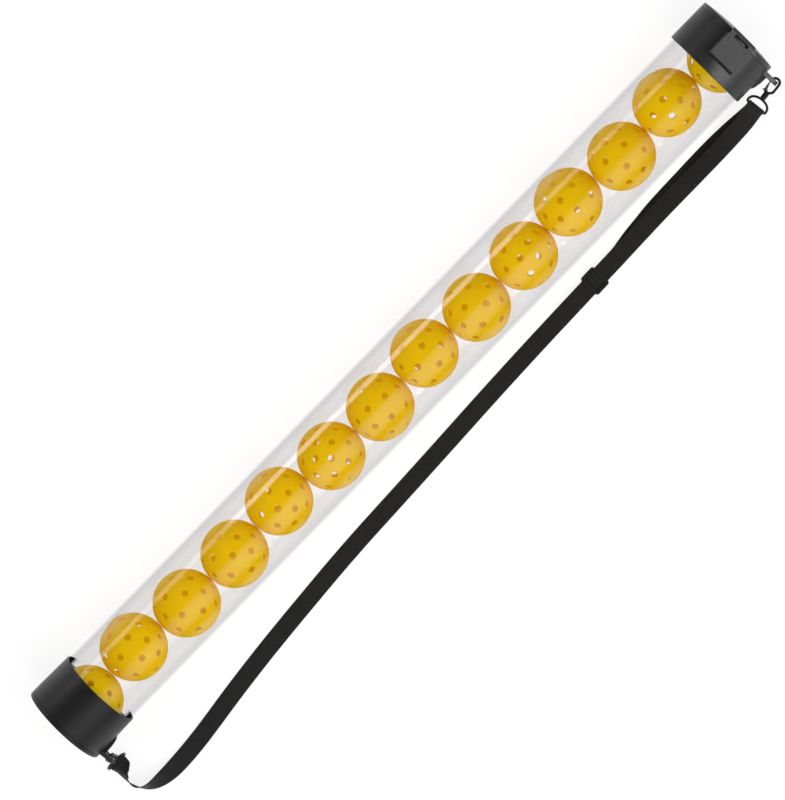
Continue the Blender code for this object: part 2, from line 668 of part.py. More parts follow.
def add_gate_spring(name, swivel, looks):
    """A leaf spring on the slot's floor that pushes the gate shut from below its pin."""
    floor = GATE_PIN_SIDE - GATE_SLOT_DEPTH + SEAT_GAP
    tip = GATE_PIN_SIDE - GATE_HEEL - SEAT_GAP
    start, bend = -HOOK_LENGTH + 2 * SEAT_GAP, -GATE_PIN_BACK - SPRING_THICKNESS
    end = -GATE_PIN_BACK + GATE_HEEL
    leaf = [(start, floor), (bend, floor), (end, tip - SPRING_THICKNESS)]
    leaf += [(end, tip), (bend, floor + SPRING_THICKNESS), (start, floor + SPRING_THICKNESS)]
    half = GATE_WIDTH / 2 - SEAT_GAP
    add_piece(f"{name}_gate_spring", prism(leaf, Matrix(), -half, half), looks["steel"], swivel)


def add_ring(name, matrix, looks, back, chamber):
    """The webbing ring, a D of wire with a headed post that turns in the barrel."""
    holder = add_empty(f"{name}_ring_place", matrix)
    corner = RING_RADIUS * 1.3
    side = circle(corner, 4, RING_BAR + corner, RING_HALF - corner, math.pi, -math.pi / 2)
    bow = []
    for k in range(1, 8):
        t = math.pi * k / 8
        bow.append((RING_APEX - (RING_DEPTH - corner) * (1 - math.sin(t) ** 0.8), RING_HALF * math.cos(t)))
    path = side + bow + [(u, -v) for u, v in reversed(side)]
    ring = wire([Vector((u, v, 0)) for u, v in path], RING_RADIUS, 8, closed=True)
    ring = add_piece(f"{name}_ring", ring, looks["metal"], holder)
    neck = back + BARREL_WALL + SEAT_GAP
    head = chamber - SEAT_GAP
    profile = [
        (RING_APEX, 0), (RING_APEX, POST_RADIUS), (neck, POST_RADIUS), (neck, head),
        (neck + POST_RADIUS, head), (neck + POST_RADIUS, 0),
    ]
    post = tool(f"{name}_post", turned(profile, 12, closed=False), holder)
    combine(ring, post, "UNION")


def smoothstep(t):
    t = min(1, max(0, t))
    return t * t * (3 - 2 * t)


def on_floor(x, y, roll=0):
    """A place of the webbing's middle on the floor, rolled by some degrees on to its edge."""
    turn = math.radians(roll)
    height = STRAP_WIDTH / 2 * math.sin(turn) + STRAP_THICKNESS / 2 * math.cos(turn)
    return Vector((x, y, STRAP_GAP + height, turn))


def raised(x, y, z, roll=0):
    return Vector((x, y, z, math.radians(roll)))


def along_slider(distance, height):
    """A place of the webbing's middle on the slider's own line."""
    x, y = SLIDER_PLACE
    return raised(x + distance * math.cos(SLIDER_TURN), y + distance * math.sin(SLIDER_TURN), height)


def leaving(bar, bar_way, toward):
    """A place that webbing passes as it leaves a bar at right angles towards a direction."""
    way = Vector(toward)
    way = (way - bar_way * way.dot(bar_way)).normalized()
    return raised(*(bar + way * LEAVE_LENGTH))


def main_route(lower_bar, lower_way, upper_bar, upper_way):
    """The middle of the webbing, with its roll, from the lower ring's bar to the upper one's."""
    chosen = [
        raised(-0.0082, -0.0800, 0.0106, 38), raised(-0.0104, -0.0842, 0.0104, 62),
        raised(-0.0116, -0.0893, 0.0102, 74), on_floor(-0.0120, -0.0943, 80), on_floor(-0.0112, -0.1010, 86),
        on_floor(-0.0078, -0.1068, 80), on_floor(-0.0015, -0.1117, 66), on_floor(0.0072, -0.1150, 48),
        on_floor(0.0192, -0.1171, 30), on_floor(0.0332, -0.1178, 15), on_floor(0.0532, -0.1170, 5),
        on_floor(0.0742, -0.1151), on_floor(0.0958, -0.1124), on_floor(0.1396, -0.1064),
        on_floor(0.1833, -0.1013), on_floor(0.2270, -0.0971), on_floor(0.2707, -0.0935),
        on_floor(0.3142, -0.0902), on_floor(0.3577, -0.0877), on_floor(0.4011, -0.0860),
        on_floor(0.4445, -0.0843), on_floor(0.4878, -0.0825), on_floor(0.5311, -0.0806),
        on_floor(0.5743, -0.0788), on_floor(0.6172, -0.0773), on_floor(0.6450, -0.0765),
        along_slider(-SLIDER_RUN - SLIDER_RAMP, STRAP_REST),
        along_slider(-SLIDER_RUN, SLIDER_STRAP_HEIGHT), along_slider(-SLIDER_LEVEL, SLIDER_STRAP_HEIGHT),
        along_slider(SLIDER_LEVEL, SLIDER_STRAP_HEIGHT), along_slider(SLIDER_RUN, SLIDER_STRAP_HEIGHT),
        along_slider(SLIDER_RUN + SLIDER_RAMP, STRAP_REST + LAYER),
        raised(0.8322, -0.0720, STRAP_REST + LAYER), raised(0.8748, -0.0718, STRAP_REST + LAYER),
        raised(0.8960, -0.0717, 0.0026), raised(0.9150, -0.0715, 0.0045), raised(0.9330, -0.0711, 0.0098),
        raised(0.9500, -0.0704, 0.0188), raised(0.9640, -0.0694, 0.0288),
    ]
    start = leaving(lower_bar, lower_way, LOWER_LEAVE)
    end = leaving(upper_bar, upper_way, UPPER_LEAVE)
    return [raised(*lower_bar), start, *chosen, end, raised(*upper_bar)]


def return_route(upper_bar, upper_way):
    """The middle of the webbing that comes back under the long strap, from the slider's core."""
    double = STRAP_REST + LAYER / 2
    chosen = [
        along_slider(0, SLIDER_CORE_HEIGHT), along_slider(LEAVE_LENGTH, double + STRAP_GAP),
        along_slider(LEAVE_LENGTH * 2, double), along_slider(LAP_LENGTH, double),
        along_slider(LAP_LENGTH + MEET, STRAP_REST),
        on_floor(0.7902, -0.0702), on_floor(0.8072, -0.0686), on_floor(0.8322, -0.0664),
        on_floor(0.8748, -0.0653), on_floor(0.8960, -0.0648), raised(0.9150, -0.0646, 0.0020),
        raised(0.9330, -0.0649, 0.0067), raised(0.9500, -0.0657, 0.0153), raised(0.9640, -0.0668, 0.0250),
    ]
    return chosen + [leaving(upper_bar, upper_way, UPPER_LEAVE), raised(*upper_bar)]


def webbing(route, first_way, last_way):
    """Samples of (place, way, width) along a route, turned to the bars at both of its ends."""
    marks = smooth_route(route, STRAP_STEP)
    places = [mark.to_3d() for mark in marks]
    runs = [0.0]
    for before, after in zip(places, places[1:]):
        runs.append(runs[-1] + (after - before).length)
    samples = []
    for k, (mark, place, run) in enumerate(zip(marks, places, runs)):
        way = (places[min(k + 1, len(places) - 1)] - places[max(k - 1, 0)]).normalized()
        width = Matrix.Rotation(mark.w, 3, way) @ Vector((-way.y, way.x, 0)).normalized()
        width = first_way.lerp(width, smoothstep(run / FIRST_TURN_IN))
        width = last_way.lerp(width, smoothstep((runs[-1] - run) / TURN_IN))
        width = (width - way * width.dot(way)).normalized()
        samples.append((place, way, width, run))
    return samples


def layer(samples, near, far, end=0.0):
    """Moves samples off their line: near beside the first bar, far up to the lap, end at the last."""
    total = samples[-1][3]
    moved = []
    for place, way, width, run in samples:
        beside = far * (1 - smoothstep((run - LAP_LENGTH) / MEET))
        amount = beside + (near - far) * (1 - smoothstep(run / MEET))
        amount += end * (1 - smoothstep((total - run) / MEET))
        moved.append((place + way.cross(width) * amount, width))
    return moved


def turn_round(bar, way, face, width, radius, share=1.0):
    """The webbing's turn round a bar, from the side of its face over the way it comes."""
    turns = [math.pi * share * k / WRAP_STEPS for k in range(1, WRAP_STEPS + 1)]
    return [(bar + radius * (face * math.cos(t) + way * math.sin(t)), width) for t in turns]


def make_strap(looks, lower_ring, upper_ring):
    """The long strap with its sewn lap, and the webbing that comes back to the slider."""
    lower_bar, lower_way = lower_ring @ Vector((RING_BAR, 0, 0)), lower_ring.to_3x3() @ Vector((0, 1, 0))
    upper_bar, upper_way = upper_ring @ Vector((RING_BAR, 0, 0)), upper_ring.to_3x3() @ Vector((0, 1, 0))
    line = webbing(main_route(lower_bar, lower_way, upper_bar, upper_way), lower_way, upper_way)
    lap = [sample for sample in line if sample[3] <= LAP_LENGTH]
    lap = layer(lap, -RING_WRAP, -LAYER / 2)
    place, way, width, run = line[0]
    turn = turn_round(place, -way, -way.cross(width), width, RING_WRAP)
    run = layer(line, RING_WRAP, LAYER / 2, RING_WRAP)
    place, way, width, total = line[-1]
    share = 1 - 1.5 * STRAP_GAP / RING_WRAP / math.pi
    last_turn = turn_round(place, way, way.cross(width), width, RING_WRAP, share)
    add_piece("strap", ribbon(lap[::-1] + turn[:-1] + run + last_turn), looks["webbing"])
    slider_way = Vector((-math.sin(SLIDER_TURN), math.cos(SLIDER_TURN), 0))
    line = webbing(return_route(upper_bar, upper_way), slider_way, upper_way)
    lap = [sample for sample in line if sample[3] <= LAP_LENGTH + STRAP_GAP]
    lap = layer(lap, SLIDER_WRAP, LAYER / 2)
    place, way, width, run = line[0]
    turn = turn_round(place, -way, way.cross(width), width, SLIDER_WRAP)
    run = layer(line, -SLIDER_WRAP, -LAYER / 2, -RING_WRAP)
    add_piece("strap_return", ribbon(lap[::-1] + turn[:-1] + run), looks["webbing"])


def rounded(length, width, radius, sides=3):
    """The outline of a rectangle with round corners about the origin."""
    outline = []
    for a, b, start in ((1, 1, 0), (-1, 1, 90), (-1, -1, 180), (1, -1, 270)):
        a, b = a * (length / 2 - radius), b * (width / 2 - radius)
        outline += circle(radius, sides, a, b, math.radians(start), math.pi / 2)
    return outline


def make_slider(looks):
    """A slider with two bars over the webbing and a core under it that holds the sewn end."""
    x, y = SLIDER_PLACE
    place = Matrix.Translation((x, y, 0)) @ Matrix.Rotation(SLIDER_TURN, 4, "Z")
    inner = STRAP_WIDTH + 2 * SLIDER_SIDE_PLAY
    outline = rounded(SLIDER_LENGTH, inner + 2 * SLIDER_RAIL, SLIDER_RAIL)
    low = SLIDER_CORE_HEIGHT - SLIDER_CORE
    body = prism(outline, Matrix(), low, SLIDER_BAR_HEIGHT + SLIDER_TOP)
    slider = add_piece("slider", body, looks["black"])
    slider.matrix_world = place
    tunnel = rounded(SLIDER_LENGTH * 2, inner, STRAP_GAP, 2)
    tunnel = tool("slider_tunnel", prism(tunnel, Matrix(), 0, SLIDER_BAR_HEIGHT), slider)
    combine(slider, tunnel, "DIFFERENCE")
    window = rounded(SLIDER_LENGTH - 2 * SLIDER_BAR, inner - SLIDER_TOP, SLIDER_TOP)
    window = tool("slider_window", prism(window, Matrix(), low, SLIDER_BAR_HEIGHT * 2), slider)
    combine(slider, window, "DIFFERENCE")
    across = frame((0, 0, SLIDER_CORE_HEIGHT), (1, 0, 0), (0, 0, 1))
    core = prism(circle(SLIDER_CORE, 8), across, -inner / 2 - SLIDER_RAIL / 2, inner / 2 + SLIDER_RAIL / 2)
    combine(slider, tool("slider_core", core, slider), "UNION")


def main():
    remove_everything()
    looks = make_materials()
    axis = make_tube(looks)
    make_balls(looks, axis)
    make_lower_end(looks, axis)
    make_upper_end(looks, axis)
    lower_ring, upper_ring = lower_hook_frame(), upper_hook_frame()
    make_hook("lower", lower_ring, looks)
    make_hook("upper", upper_ring, looks)
    make_strap(looks, lower_ring, upper_ring)
    make_slider(looks)


main()
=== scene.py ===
"""Looks of the clear ball pick-up tube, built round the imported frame, in metres.

The tube lies along X with its pick-up mouth at -X and its lid at +X, and the strap lies along -Y.
"""

import json
import math
import random

import bmesh
import bpy
from mathutils import Matrix, Vector


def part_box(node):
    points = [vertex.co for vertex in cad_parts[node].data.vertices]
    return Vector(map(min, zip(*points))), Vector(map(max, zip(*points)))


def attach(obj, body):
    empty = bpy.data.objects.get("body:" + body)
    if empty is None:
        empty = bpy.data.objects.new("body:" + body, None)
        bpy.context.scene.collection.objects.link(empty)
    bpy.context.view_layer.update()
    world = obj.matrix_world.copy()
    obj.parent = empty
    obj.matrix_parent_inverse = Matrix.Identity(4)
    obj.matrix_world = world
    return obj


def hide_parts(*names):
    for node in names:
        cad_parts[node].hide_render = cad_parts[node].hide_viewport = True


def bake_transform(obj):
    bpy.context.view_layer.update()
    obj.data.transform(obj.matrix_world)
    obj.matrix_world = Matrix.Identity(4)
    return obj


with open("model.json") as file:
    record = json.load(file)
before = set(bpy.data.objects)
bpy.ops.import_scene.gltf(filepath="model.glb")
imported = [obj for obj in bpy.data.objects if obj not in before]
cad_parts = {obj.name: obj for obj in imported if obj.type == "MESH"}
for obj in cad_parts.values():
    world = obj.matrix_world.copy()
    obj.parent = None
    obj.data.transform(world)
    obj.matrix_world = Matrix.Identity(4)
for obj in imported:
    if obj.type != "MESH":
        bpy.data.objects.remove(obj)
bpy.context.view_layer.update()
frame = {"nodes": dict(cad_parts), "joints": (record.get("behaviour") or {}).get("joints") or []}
NODES = frame["nodes"]
JOINTS = {joint["name"]: joint for joint in frame["joints"]}

# Camera: the photograph looks down on the floor with the tube on the picture's diagonal
FOCAL_LENGTH = 220
CAMERA_TARGET = Vector((0.48926, -0.00835, 0.0495))
CAMERA_DISTANCE = 5.2224
CAMERA_LEAN = math.radians(5)
CAMERA_TURN = math.radians(45.67)

# Rounded edges of the pieces, and how near points are to be welded
MOULDED_EDGE = 0.0004
THIN_EDGE = 0.0002
FINE_EDGE = 0.0001
HOOK_EDGE = 0.00015
LEAF_EDGE = 0.00005
EDGE_STEPS = 4
WELD_DISTANCE = 0.00001

# Collars and tube, whose round sides have 36 facets with a flat one down
FACETS = 36
FLAT_SHARE = math.cos(math.pi / FACETS)
TUBE_WALL = 0.002
TUBE_EDGE = 0.0004
TUBE_SIDES = 160
# The wall's tint square on and aslant, and for shadow and diffuse rays
TUBE_TINT = (0.968, 0.964, 0.97)
TUBE_EDGE_TINT = (0.6, 0.592, 0.602)
TUBE_LIGHT_TINT = (0.99, 0.99, 0.992)
# A plain tint takes over between two slants, and sooner by some where a ray leaves the wall
TUBE_RIM_TINT = (0.91, 0.905, 0.912)
TUBE_RIM = (0.45, 0.59)
TUBE_RIM_BACK = 0.15

# Balls
BALL_RADIUS = 0.03675
BALL_WALL = 0.002
HOLE_RADIUS = 0.0038
HOLE_EDGE = 0.00045
HOLE_SIDES = 28
BALL_POINTS = 1500
# Round each hole, in its rim's angle: a second ring of points, and a zone free of other points
HOLE_GUARD = 1.22
HOLE_CLEAR = 1.42
# Each hemisphere's rings of holes: degrees from the pole, count, start in degrees
HOLE_RINGS = ((20, 4, 0), (48, 8, 22.5), (75, 8, 0))
LOWER_HALF_TURN = 22.5
BALL_TONES = ((0.98, 0.73, 0.0005), (0.96, 0.685, 0.0005))
BALL_SEAM_TONE = (0.78, 0.50, 0.0005)
BALL_SEAM_HALF = (0.0002, 0.0006)
BALL_GLOW_TONE = (0.99, 0.8, 0.0008)
BALL_GLOW = 0.5

# Webbing, as the frame's strap has it
STRAP_WIDTH = 0.02
STRAP_THICKNESS = 0.0011
STRAP_GAP = 0.0003
STRAP_STEP = 0.004
STRAP_SPANS = 8
LAYER = STRAP_THICKNESS + STRAP_GAP
STRAP_REST = STRAP_THICKNESS / 2 + STRAP_GAP
YARN_PITCH = 0.0014
YARN_SLANT = 0.9
RIB_PITCH = 0.0016

# How the webbing leaves its bars, and over what length its layers meet and its width turns
LAP_LENGTH = 0.024
LEAVE_LENGTH = 0.007
LOWER_LEAVE = (-0.15, -1, -0.02)
UPPER_LEAVE = (-0.8, -0.03, -0.6)
MEET = 0.014
TURN_IN = 0.02
FIRST_TURN_IN = 0.008
WRAP_STEPS = 12

# Slider, and the webbing's way over and round its core
SLIDER_PLACE = (0.7295, -0.0744)
SLIDER_TURN = math.radians(1.4)
SLIDER_RUN = 0.042
SLIDER_LEVEL = 0.036
SLIDER_RAMP = 0.024
SLIDER_CORE = 0.0007
SLIDER_WRAP = SLIDER_CORE + STRAP_GAP + STRAP_THICKNESS / 2
SLIDER_CORE_HEIGHT = STRAP_REST + SLIDER_WRAP
SLIDER_STRAP_HEIGHT = SLIDER_CORE_HEIGHT + SLIDER_WRAP + LAYER

# Stitches of the sewn laps: the box's runs from the bar and its half width
SEAM_RUNS = (0.0152, 0.0222)
SEAM_SIDE = 0.0072
STITCH_LENGTH = 0.0022
STITCH_GAP = 0.0005
THREAD_RADIUS = 0.00024
THREAD_SIDES = 8
# Along a stitch: share of its length, thickness and lift in thread radii
THREAD_SHAPE = ((0, 0.45, -0.8), (0.14, 0.9, -0.1), (0.5, 1, 0.1), (0.86, 0.9, -0.1), (1, 0.45, -0.8))

# The hooks' frames as the CAD has them: each swivel's axis is u, and w is the gate's pin
WIRE_SIDES = 16
WIRE_STEP = 0.0006
WIRE_RADIUS = 0.0015
HOOK_HALF = 0.0047
HOOK_LENGTH = 0.0196
NOSE_END = 0.0082
NOSE_ROUND = 0.0006
BARREL_RADIUS = 0.0032
BARREL_LENGTH = 0.007
BARREL_WALL = 0.0013
BARREL_EDGE = 0.0006
BARREL_SIDES = 32
POST_RADIUS = 0.0012
POST_HEAD = 0.001
POST_SIDES = 24
SEAT_GAP = 0.0003
# The wire leaves the barrel and bends out to its spine: along and aside, in wire radii or hook halves
WIRE_EXIT = (0.6 * WIRE_RADIUS, -0.22 * HOOK_HALF)
SPINE_PLACE = HOOK_LENGTH - 0.9 * HOOK_HALF
SPINE_BEND = ((-0.35, -0.66), (0.0, -0.93), (0.43, -1.0))

# Fork, whose cheeks hold the gate's pin
FORK_INSIDE = 0.0014
FORK_OUTSIDE = 0.0022
FORK_FLOOR = 0.0011
FORK_FOOT = 0.0008
CHEEK_LOW = -0.3 * BARREL_RADIUS
CHEEK_HIGH = 0.8 * BARREL_RADIUS
GATE_PIN = (-0.0168, 0.0036)
GATE_EYE = 0.0016
EYE_ARC = (100, -50)
EYE_THROAT = 1.5 * GATE_EYE
WEB_LOW = 0.9 * CHEEK_LOW

# D rings
RING_RADIUS = 0.0014
RING_SIDE_PLAY = 0.0004
RING_STEPS = 28
RING_HALF = STRAP_WIDTH / 2 + RING_SIDE_PLAY + RING_RADIUS
RING_CORNER = RING_RADIUS * 1.3
RING_DEPTH = 0.0108
RING_FULLNESS = 0.8
RING_APEX = -HOOK_LENGTH - BARREL_LENGTH - SEAT_GAP - RING_RADIUS
RING_BAR = RING_APEX - RING_DEPTH
RING_WRAP = RING_RADIUS + STRAP_GAP + STRAP_THICKNESS / 2

# Stage, whose levels are shares of plain white
FLOOR_TONES = ((0.86, 0.86, 0.86), (0.87, 0.87, 0.87))
FLOOR_GLOW = 1.05
FLOOR_SHARE = 0.8
FLOOR_HALF = 8
FLOOR_LEVEL = -0.0003
WORLD_LIGHT = 0.6
CEILING_LIGHT = 0.03
HORIZON_LIGHT = 0.5
# How far a ray has to rise, in gloss and through glass, until it sees the ceiling
GLOSS_RISE = (0.0, 0.3)
GLASS_RISE = (0.05, 0.32)
# The softbox is a round glow in the ceiling about one direction
SOFTBOX_WAY = (0.0, -0.56, 0.83)
SOFTBOX_RISE = (0.83, 0.99)
SOFTBOX_LIGHT = 1.25
# The end lamp lights the upper collar and the lid alone, for their sheen
KEY_LAMP = {"place": (-0.1, -1.56, 2.56), "size": (3.2, 2.2), "radiance": 2.8, "shows": False}
END_LAMP = {"place": (0.75, -1.6, 1.85), "size": (0.9, 2.4), "radiance": 7.0,
            "only_on": ("upper_collar", "lid")}
STRIP_LAMP = {"place": (-0.2, 2.2, 1.18), "size": (1.2, 0.66), "radiance": 4.3, "colour": (1.0, 0.92, 0.9)}


def object_of(name, bm, looks, place=(0, 0, 0)):
    """Makes a smooth object of the mesh, which is used up."""
    mesh = bpy.data.meshes.new(name)
    bm.to_mesh(mesh)
    bm.free()
    mesh.shade_smooth()
    mesh.materials.append(looks)
    piece = bpy.data.objects.new(name, mesh)
    piece.location = place
    bpy.context.scene.collection.objects.link(piece)
    return piece


def piece_of(name, bm, looks, body, replaced=(), place=(0, 0, 0)):
    """Makes an object of the mesh, which rides on a body in place of some of the frame's nodes."""
    piece = object_of(name, bm, looks, place)
    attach(piece, body)
    if replaced:
        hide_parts(*replaced)
    return piece


def dress(name, looks, edge):
    """Gives a frame node its finish, rounded edges and smooth round faces."""
    piece = NODES[name]
    mesh = piece.data
    mesh.materials.clear()
    mesh.materials.append(looks)
    for spare in ("custom_normal", "sharp_edge", "sharp_face"):
        if spare in mesh.attributes:
            mesh.attributes.remove(mesh.attributes[spare])
    mesh.shade_smooth()
    weld = piece.modifiers.new("weld", "WELD")
    weld.merge_threshold = WELD_DISTANCE
    soften(piece, edge)


def soften(piece, edge):
    """Rounds a piece's edges and shades its round faces smooth."""
    bevel = piece.modifiers.new("edges", "BEVEL")
    bevel.width = edge
    bevel.segments = 2
    bevel.limit_method = "ANGLE"
    bevel.angle_limit = math.radians(32)
    bevel.harden_normals = False
    split = piece.modifiers.new("sharp", "EDGE_SPLIT")
    split.split_angle = math.radians(34)
    weight = piece.modifiers.new("flats", "WEIGHTED_NORMAL")
    weight.keep_sharp = True


# Materials

RANGE_SOCKETS = ("From Min", "From Max", "To Min", "To Max")


class Shader:
    """A material's nodes, added one by one with their settings and links."""

    def __init__(self, name):
        self.material = bpy.data.materials.new(name)
        self.material.use_nodes = True
        self.tree = self.material.node_tree
        self.main = self.tree.nodes["Principled BSDF"]
        self.output = self.tree.nodes["Material Output"]

    def add(self, kind, **settings):
        node = self.tree.nodes.new("ShaderNode" + kind)
        for key, value in settings.items():
            setattr(node, key, value)
        return node

    def link(self, source, target):
        self.tree.links.new(source, target)

    def coordinates(self, scale):
        """Object coordinates, stretched by a scale."""
        place = self.add("TexCoord")
        mapping = self.add("Mapping")
        mapping.inputs["Scale"].default_value = scale
        self.link(place.outputs["Object"], mapping.inputs["Vector"])
        return mapping.outputs["Vector"]

    def noise(self, vector, scale, detail=3.0, roughness=0.5):
        node = self.add("TexNoise")
        node.inputs["Scale"].default_value = scale
        node.inputs["Detail"].default_value = detail
        node.inputs["Roughness"].default_value = roughness
        self.link(vector, node.inputs["Vector"])
        return node.outputs["Fac"]

    def ramp(self, value, low, high, to_low=0.0, to_high=1.0):
        """Maps a value from one range to another, clamped."""
        node = self.add("MapRange")
        for key, number in zip(RANGE_SOCKETS, (low, high, to_low, to_high)):
            node.inputs[key].default_value = number
        self.link(value, node.inputs["Value"])
        return node.outputs["Result"]

    def mix(self, value, first, second):
        """A colour between two, which are colours or sockets."""
        node = self.add("Mix", data_type="RGBA")
        self.link(value, node.inputs["Factor"])
        for name, colour in (("A", first), ("B", second)):
            socket = next(s for s in node.inputs if s.name == name and s.type == "RGBA")
            if isinstance(colour, tuple):
                socket.default_value = (*colour, 1)
            else:
                self.link(colour, socket)
        return next(s for s in node.outputs if s.type == "RGBA")

    def math(self, operation, first, second=0.0):
        node = self.add("Math", operation=operation)
        for socket, value in zip(node.inputs, (first, second)):
            if isinstance(value, (int, float)):
                socket.default_value = value
            else:
                self.link(value, socket)
        return node.outputs["Value"]

    def plain(self, kind, colour):
        """A shader of one colour."""
        node = self.add(kind)
        node.inputs["Color"].default_value = (*colour, 1)
        return node.outputs["BSDF"]

    def blend(self, share, first, second):
        """A shader between two others, by a share that is a number or a socket."""
        node = self.add("MixShader")
        if isinstance(share, float):
            node.inputs["Fac"].default_value = share
        else:
            self.link(share, node.inputs["Fac"])
        self.link(first, node.inputs[1])
        self.link(second, node.inputs[2])
        return node.outputs["Shader"]

    def bump(self, height, distance, strength, under=None):
        node = self.add("Bump")
        node.inputs["Distance"].default_value = distance
        node.inputs["Strength"].default_value = strength
        self.link(height, node.inputs["Height"])
        if under:
            self.link(under, node.inputs["Normal"])
        return node.outputs["Normal"]

    def settle(self, colour, roughness, normal=None, **fixed):
        """Links or sets the main shader's colour, roughness and normal, and sets other sockets."""
        for name, value in (("Base Color", colour), ("Roughness", roughness), ("Normal", normal)):
            socket = self.main.inputs[name]
            if isinstance(value, tuple):
                socket.default_value = (*value, 1)
            elif isinstance(value, float):
                socket.default_value = value
            elif value:
                self.link(value, socket)
        for name, value in fixed.items():
            self.main.inputs[name.replace("_", " ")].default_value = value
        return self.material


def black_moulding(name, grey=0.010, roughness=0.42):
    """Satin black moulded plastic with a fine spark-eroded grain and faint handling marks."""
    s = Shader(name)
    place = s.coordinates((1, 1, 1))
    grain = s.noise(place, 2600, 2.0)
    cloud = s.noise(place, 38, 3.0, 0.6)
    light = (grey * 1.35, grey * 1.3, grey * 1.35)
    tone = s.mix(s.ramp(cloud, 0.3, 0.7), (grey, grey * 0.95, grey), light)
    handled = s.ramp(cloud, 0.3, 0.7, roughness - 0.05, roughness + 0.05)
    shine = s.math("ADD", handled, s.ramp(grain, 0, 1, -0.04, 0.04))
    return s.settle(tone, shine, s.bump(grain, 0.00006, 0.5), Specular_IOR_Level=0.4)


def ball_plastic():
    """Yellow moulded plastic that some light passes through, with the weld line of its two halves."""
    s = Shader("ball_yellow")
    place = s.coordinates((1, 1, 1))
    cloud = s.noise(place, 55, 3.0)
    grain = s.noise(place, 1500, 2.0)
    from_seam = s.add("Attribute", attribute_name="from_seam").outputs["Fac"]
    seam = s.ramp(from_seam, *BALL_SEAM_HALF, 1.0, 0.0)
    tone = s.mix(s.ramp(cloud, 0.35, 0.65), *BALL_TONES)
    tone = s.mix(s.math("MULTIPLY", seam, 0.35), tone, BALL_SEAM_TONE)
    shine = s.ramp(cloud, 0.3, 0.7, 0.42, 0.52)
    normal = s.bump(seam, 0.00012, 0.8, s.bump(grain, 0.00003, 0.5))
    material = s.settle(tone, shine, normal, Specular_IOR_Level=0.07)
    inside = s.plain("BsdfTranslucent", BALL_GLOW_TONE)
    wall = s.blend(BALL_GLOW, s.main.outputs["BSDF"], inside)
    s.link(wall, s.output.inputs["Surface"])
    return material


def clear_plastic():
    """Clear tube wall, greyer where seen aslant, that shadow and diffuse rays pass straight through."""
    s = Shader("tube_clear")
    streak = s.noise(s.coordinates((0.05, 1, 1)), 900, 2.0)
    film = s.noise(s.coordinates((1, 1, 1)), 25, 3.0)
    aslant = s.add("LayerWeight")
    aslant.inputs["Blend"].default_value = 0.5
    tone = s.mix(aslant.outputs["Facing"], TUBE_TINT, TUBE_EDGE_TINT)
    shine = s.ramp(film, 0.35, 0.7, 0.03, 0.06)
    material = s.settle(tone, shine, s.bump(streak, 0.000004, 0.06), Transmission_Weight=1.0, IOR=1.4)
    leaving_wall = s.math("MULTIPLY", s.add("NewGeometry").outputs["Backfacing"], TUBE_RIM_BACK)
    slant = s.math("ADD", aslant.outputs["Facing"], leaving_wall)
    rim = s.plain("BsdfTransparent", TUBE_RIM_TINT)
    wall = s.blend(s.ramp(slant, *TUBE_RIM), s.main.outputs["BSDF"], rim)
    path = s.add("LightPath")
    passing = s.math("MAXIMUM", path.outputs["Is Shadow Ray"], path.outputs["Is Diffuse Ray"])
    through = s.plain("BsdfTransparent", TUBE_LIGHT_TINT)
    s.link(s.blend(passing, wall, through), s.output.inputs["Surface"])
    return material


def finger_plastic():
    """Dark brown, slightly see-through flexible plastic."""
    s = Shader("finger_brown")
    place = s.coordinates((1, 1, 1))
    cloud = s.noise(place, 120, 3.0)
    tone = s.mix(s.ramp(cloud, 0.3, 0.7), (0.035, 0.024, 0.015), (0.055, 0.038, 0.024))
    shine = s.ramp(cloud, 0.3, 0.7, 0.3, 0.42)
    return s.settle(tone, shine, s.bump(cloud, 0.0001, 0.4), Subsurface_Weight=0.2,
                    Subsurface_Radius=(0.003, 0.002, 0.001), Subsurface_Scale=1.0)


def coated_metal():
    """Black coated casting with a soft shine, slightly worn."""
    s = Shader("hook_black")
    place = s.coordinates((1, 1, 1))
    grain = s.noise(place, 1400, 3.0)
    wear = s.noise(place, 420, 4.0, 0.65)
    tone = s.mix(s.ramp(wear, 0.62, 0.78), (0.016, 0.016, 0.017), (0.07, 0.07, 0.072))
    return s.settle(tone, s.ramp(wear, 0.3, 0.7, 0.26, 0.42), s.bump(grain, 0.00005, 0.6), Metallic=0.35,
                    Coat_Weight=0.3, Coat_Roughness=0.2)


def bright_steel():
    """Plain stamped steel with fine draw marks."""
    s = Shader("steel_bright")
    streak = s.noise(s.coordinates((40, 40, 3000)), 1, 3.0)
    tone = s.mix(streak, (0.56, 0.56, 0.57), (0.72, 0.72, 0.73))
    return s.settle(tone, s.ramp(streak, 0.3, 0.7, 0.22, 0.36), s.bump(streak, 0.00002, 0.4), Metallic=1.0)


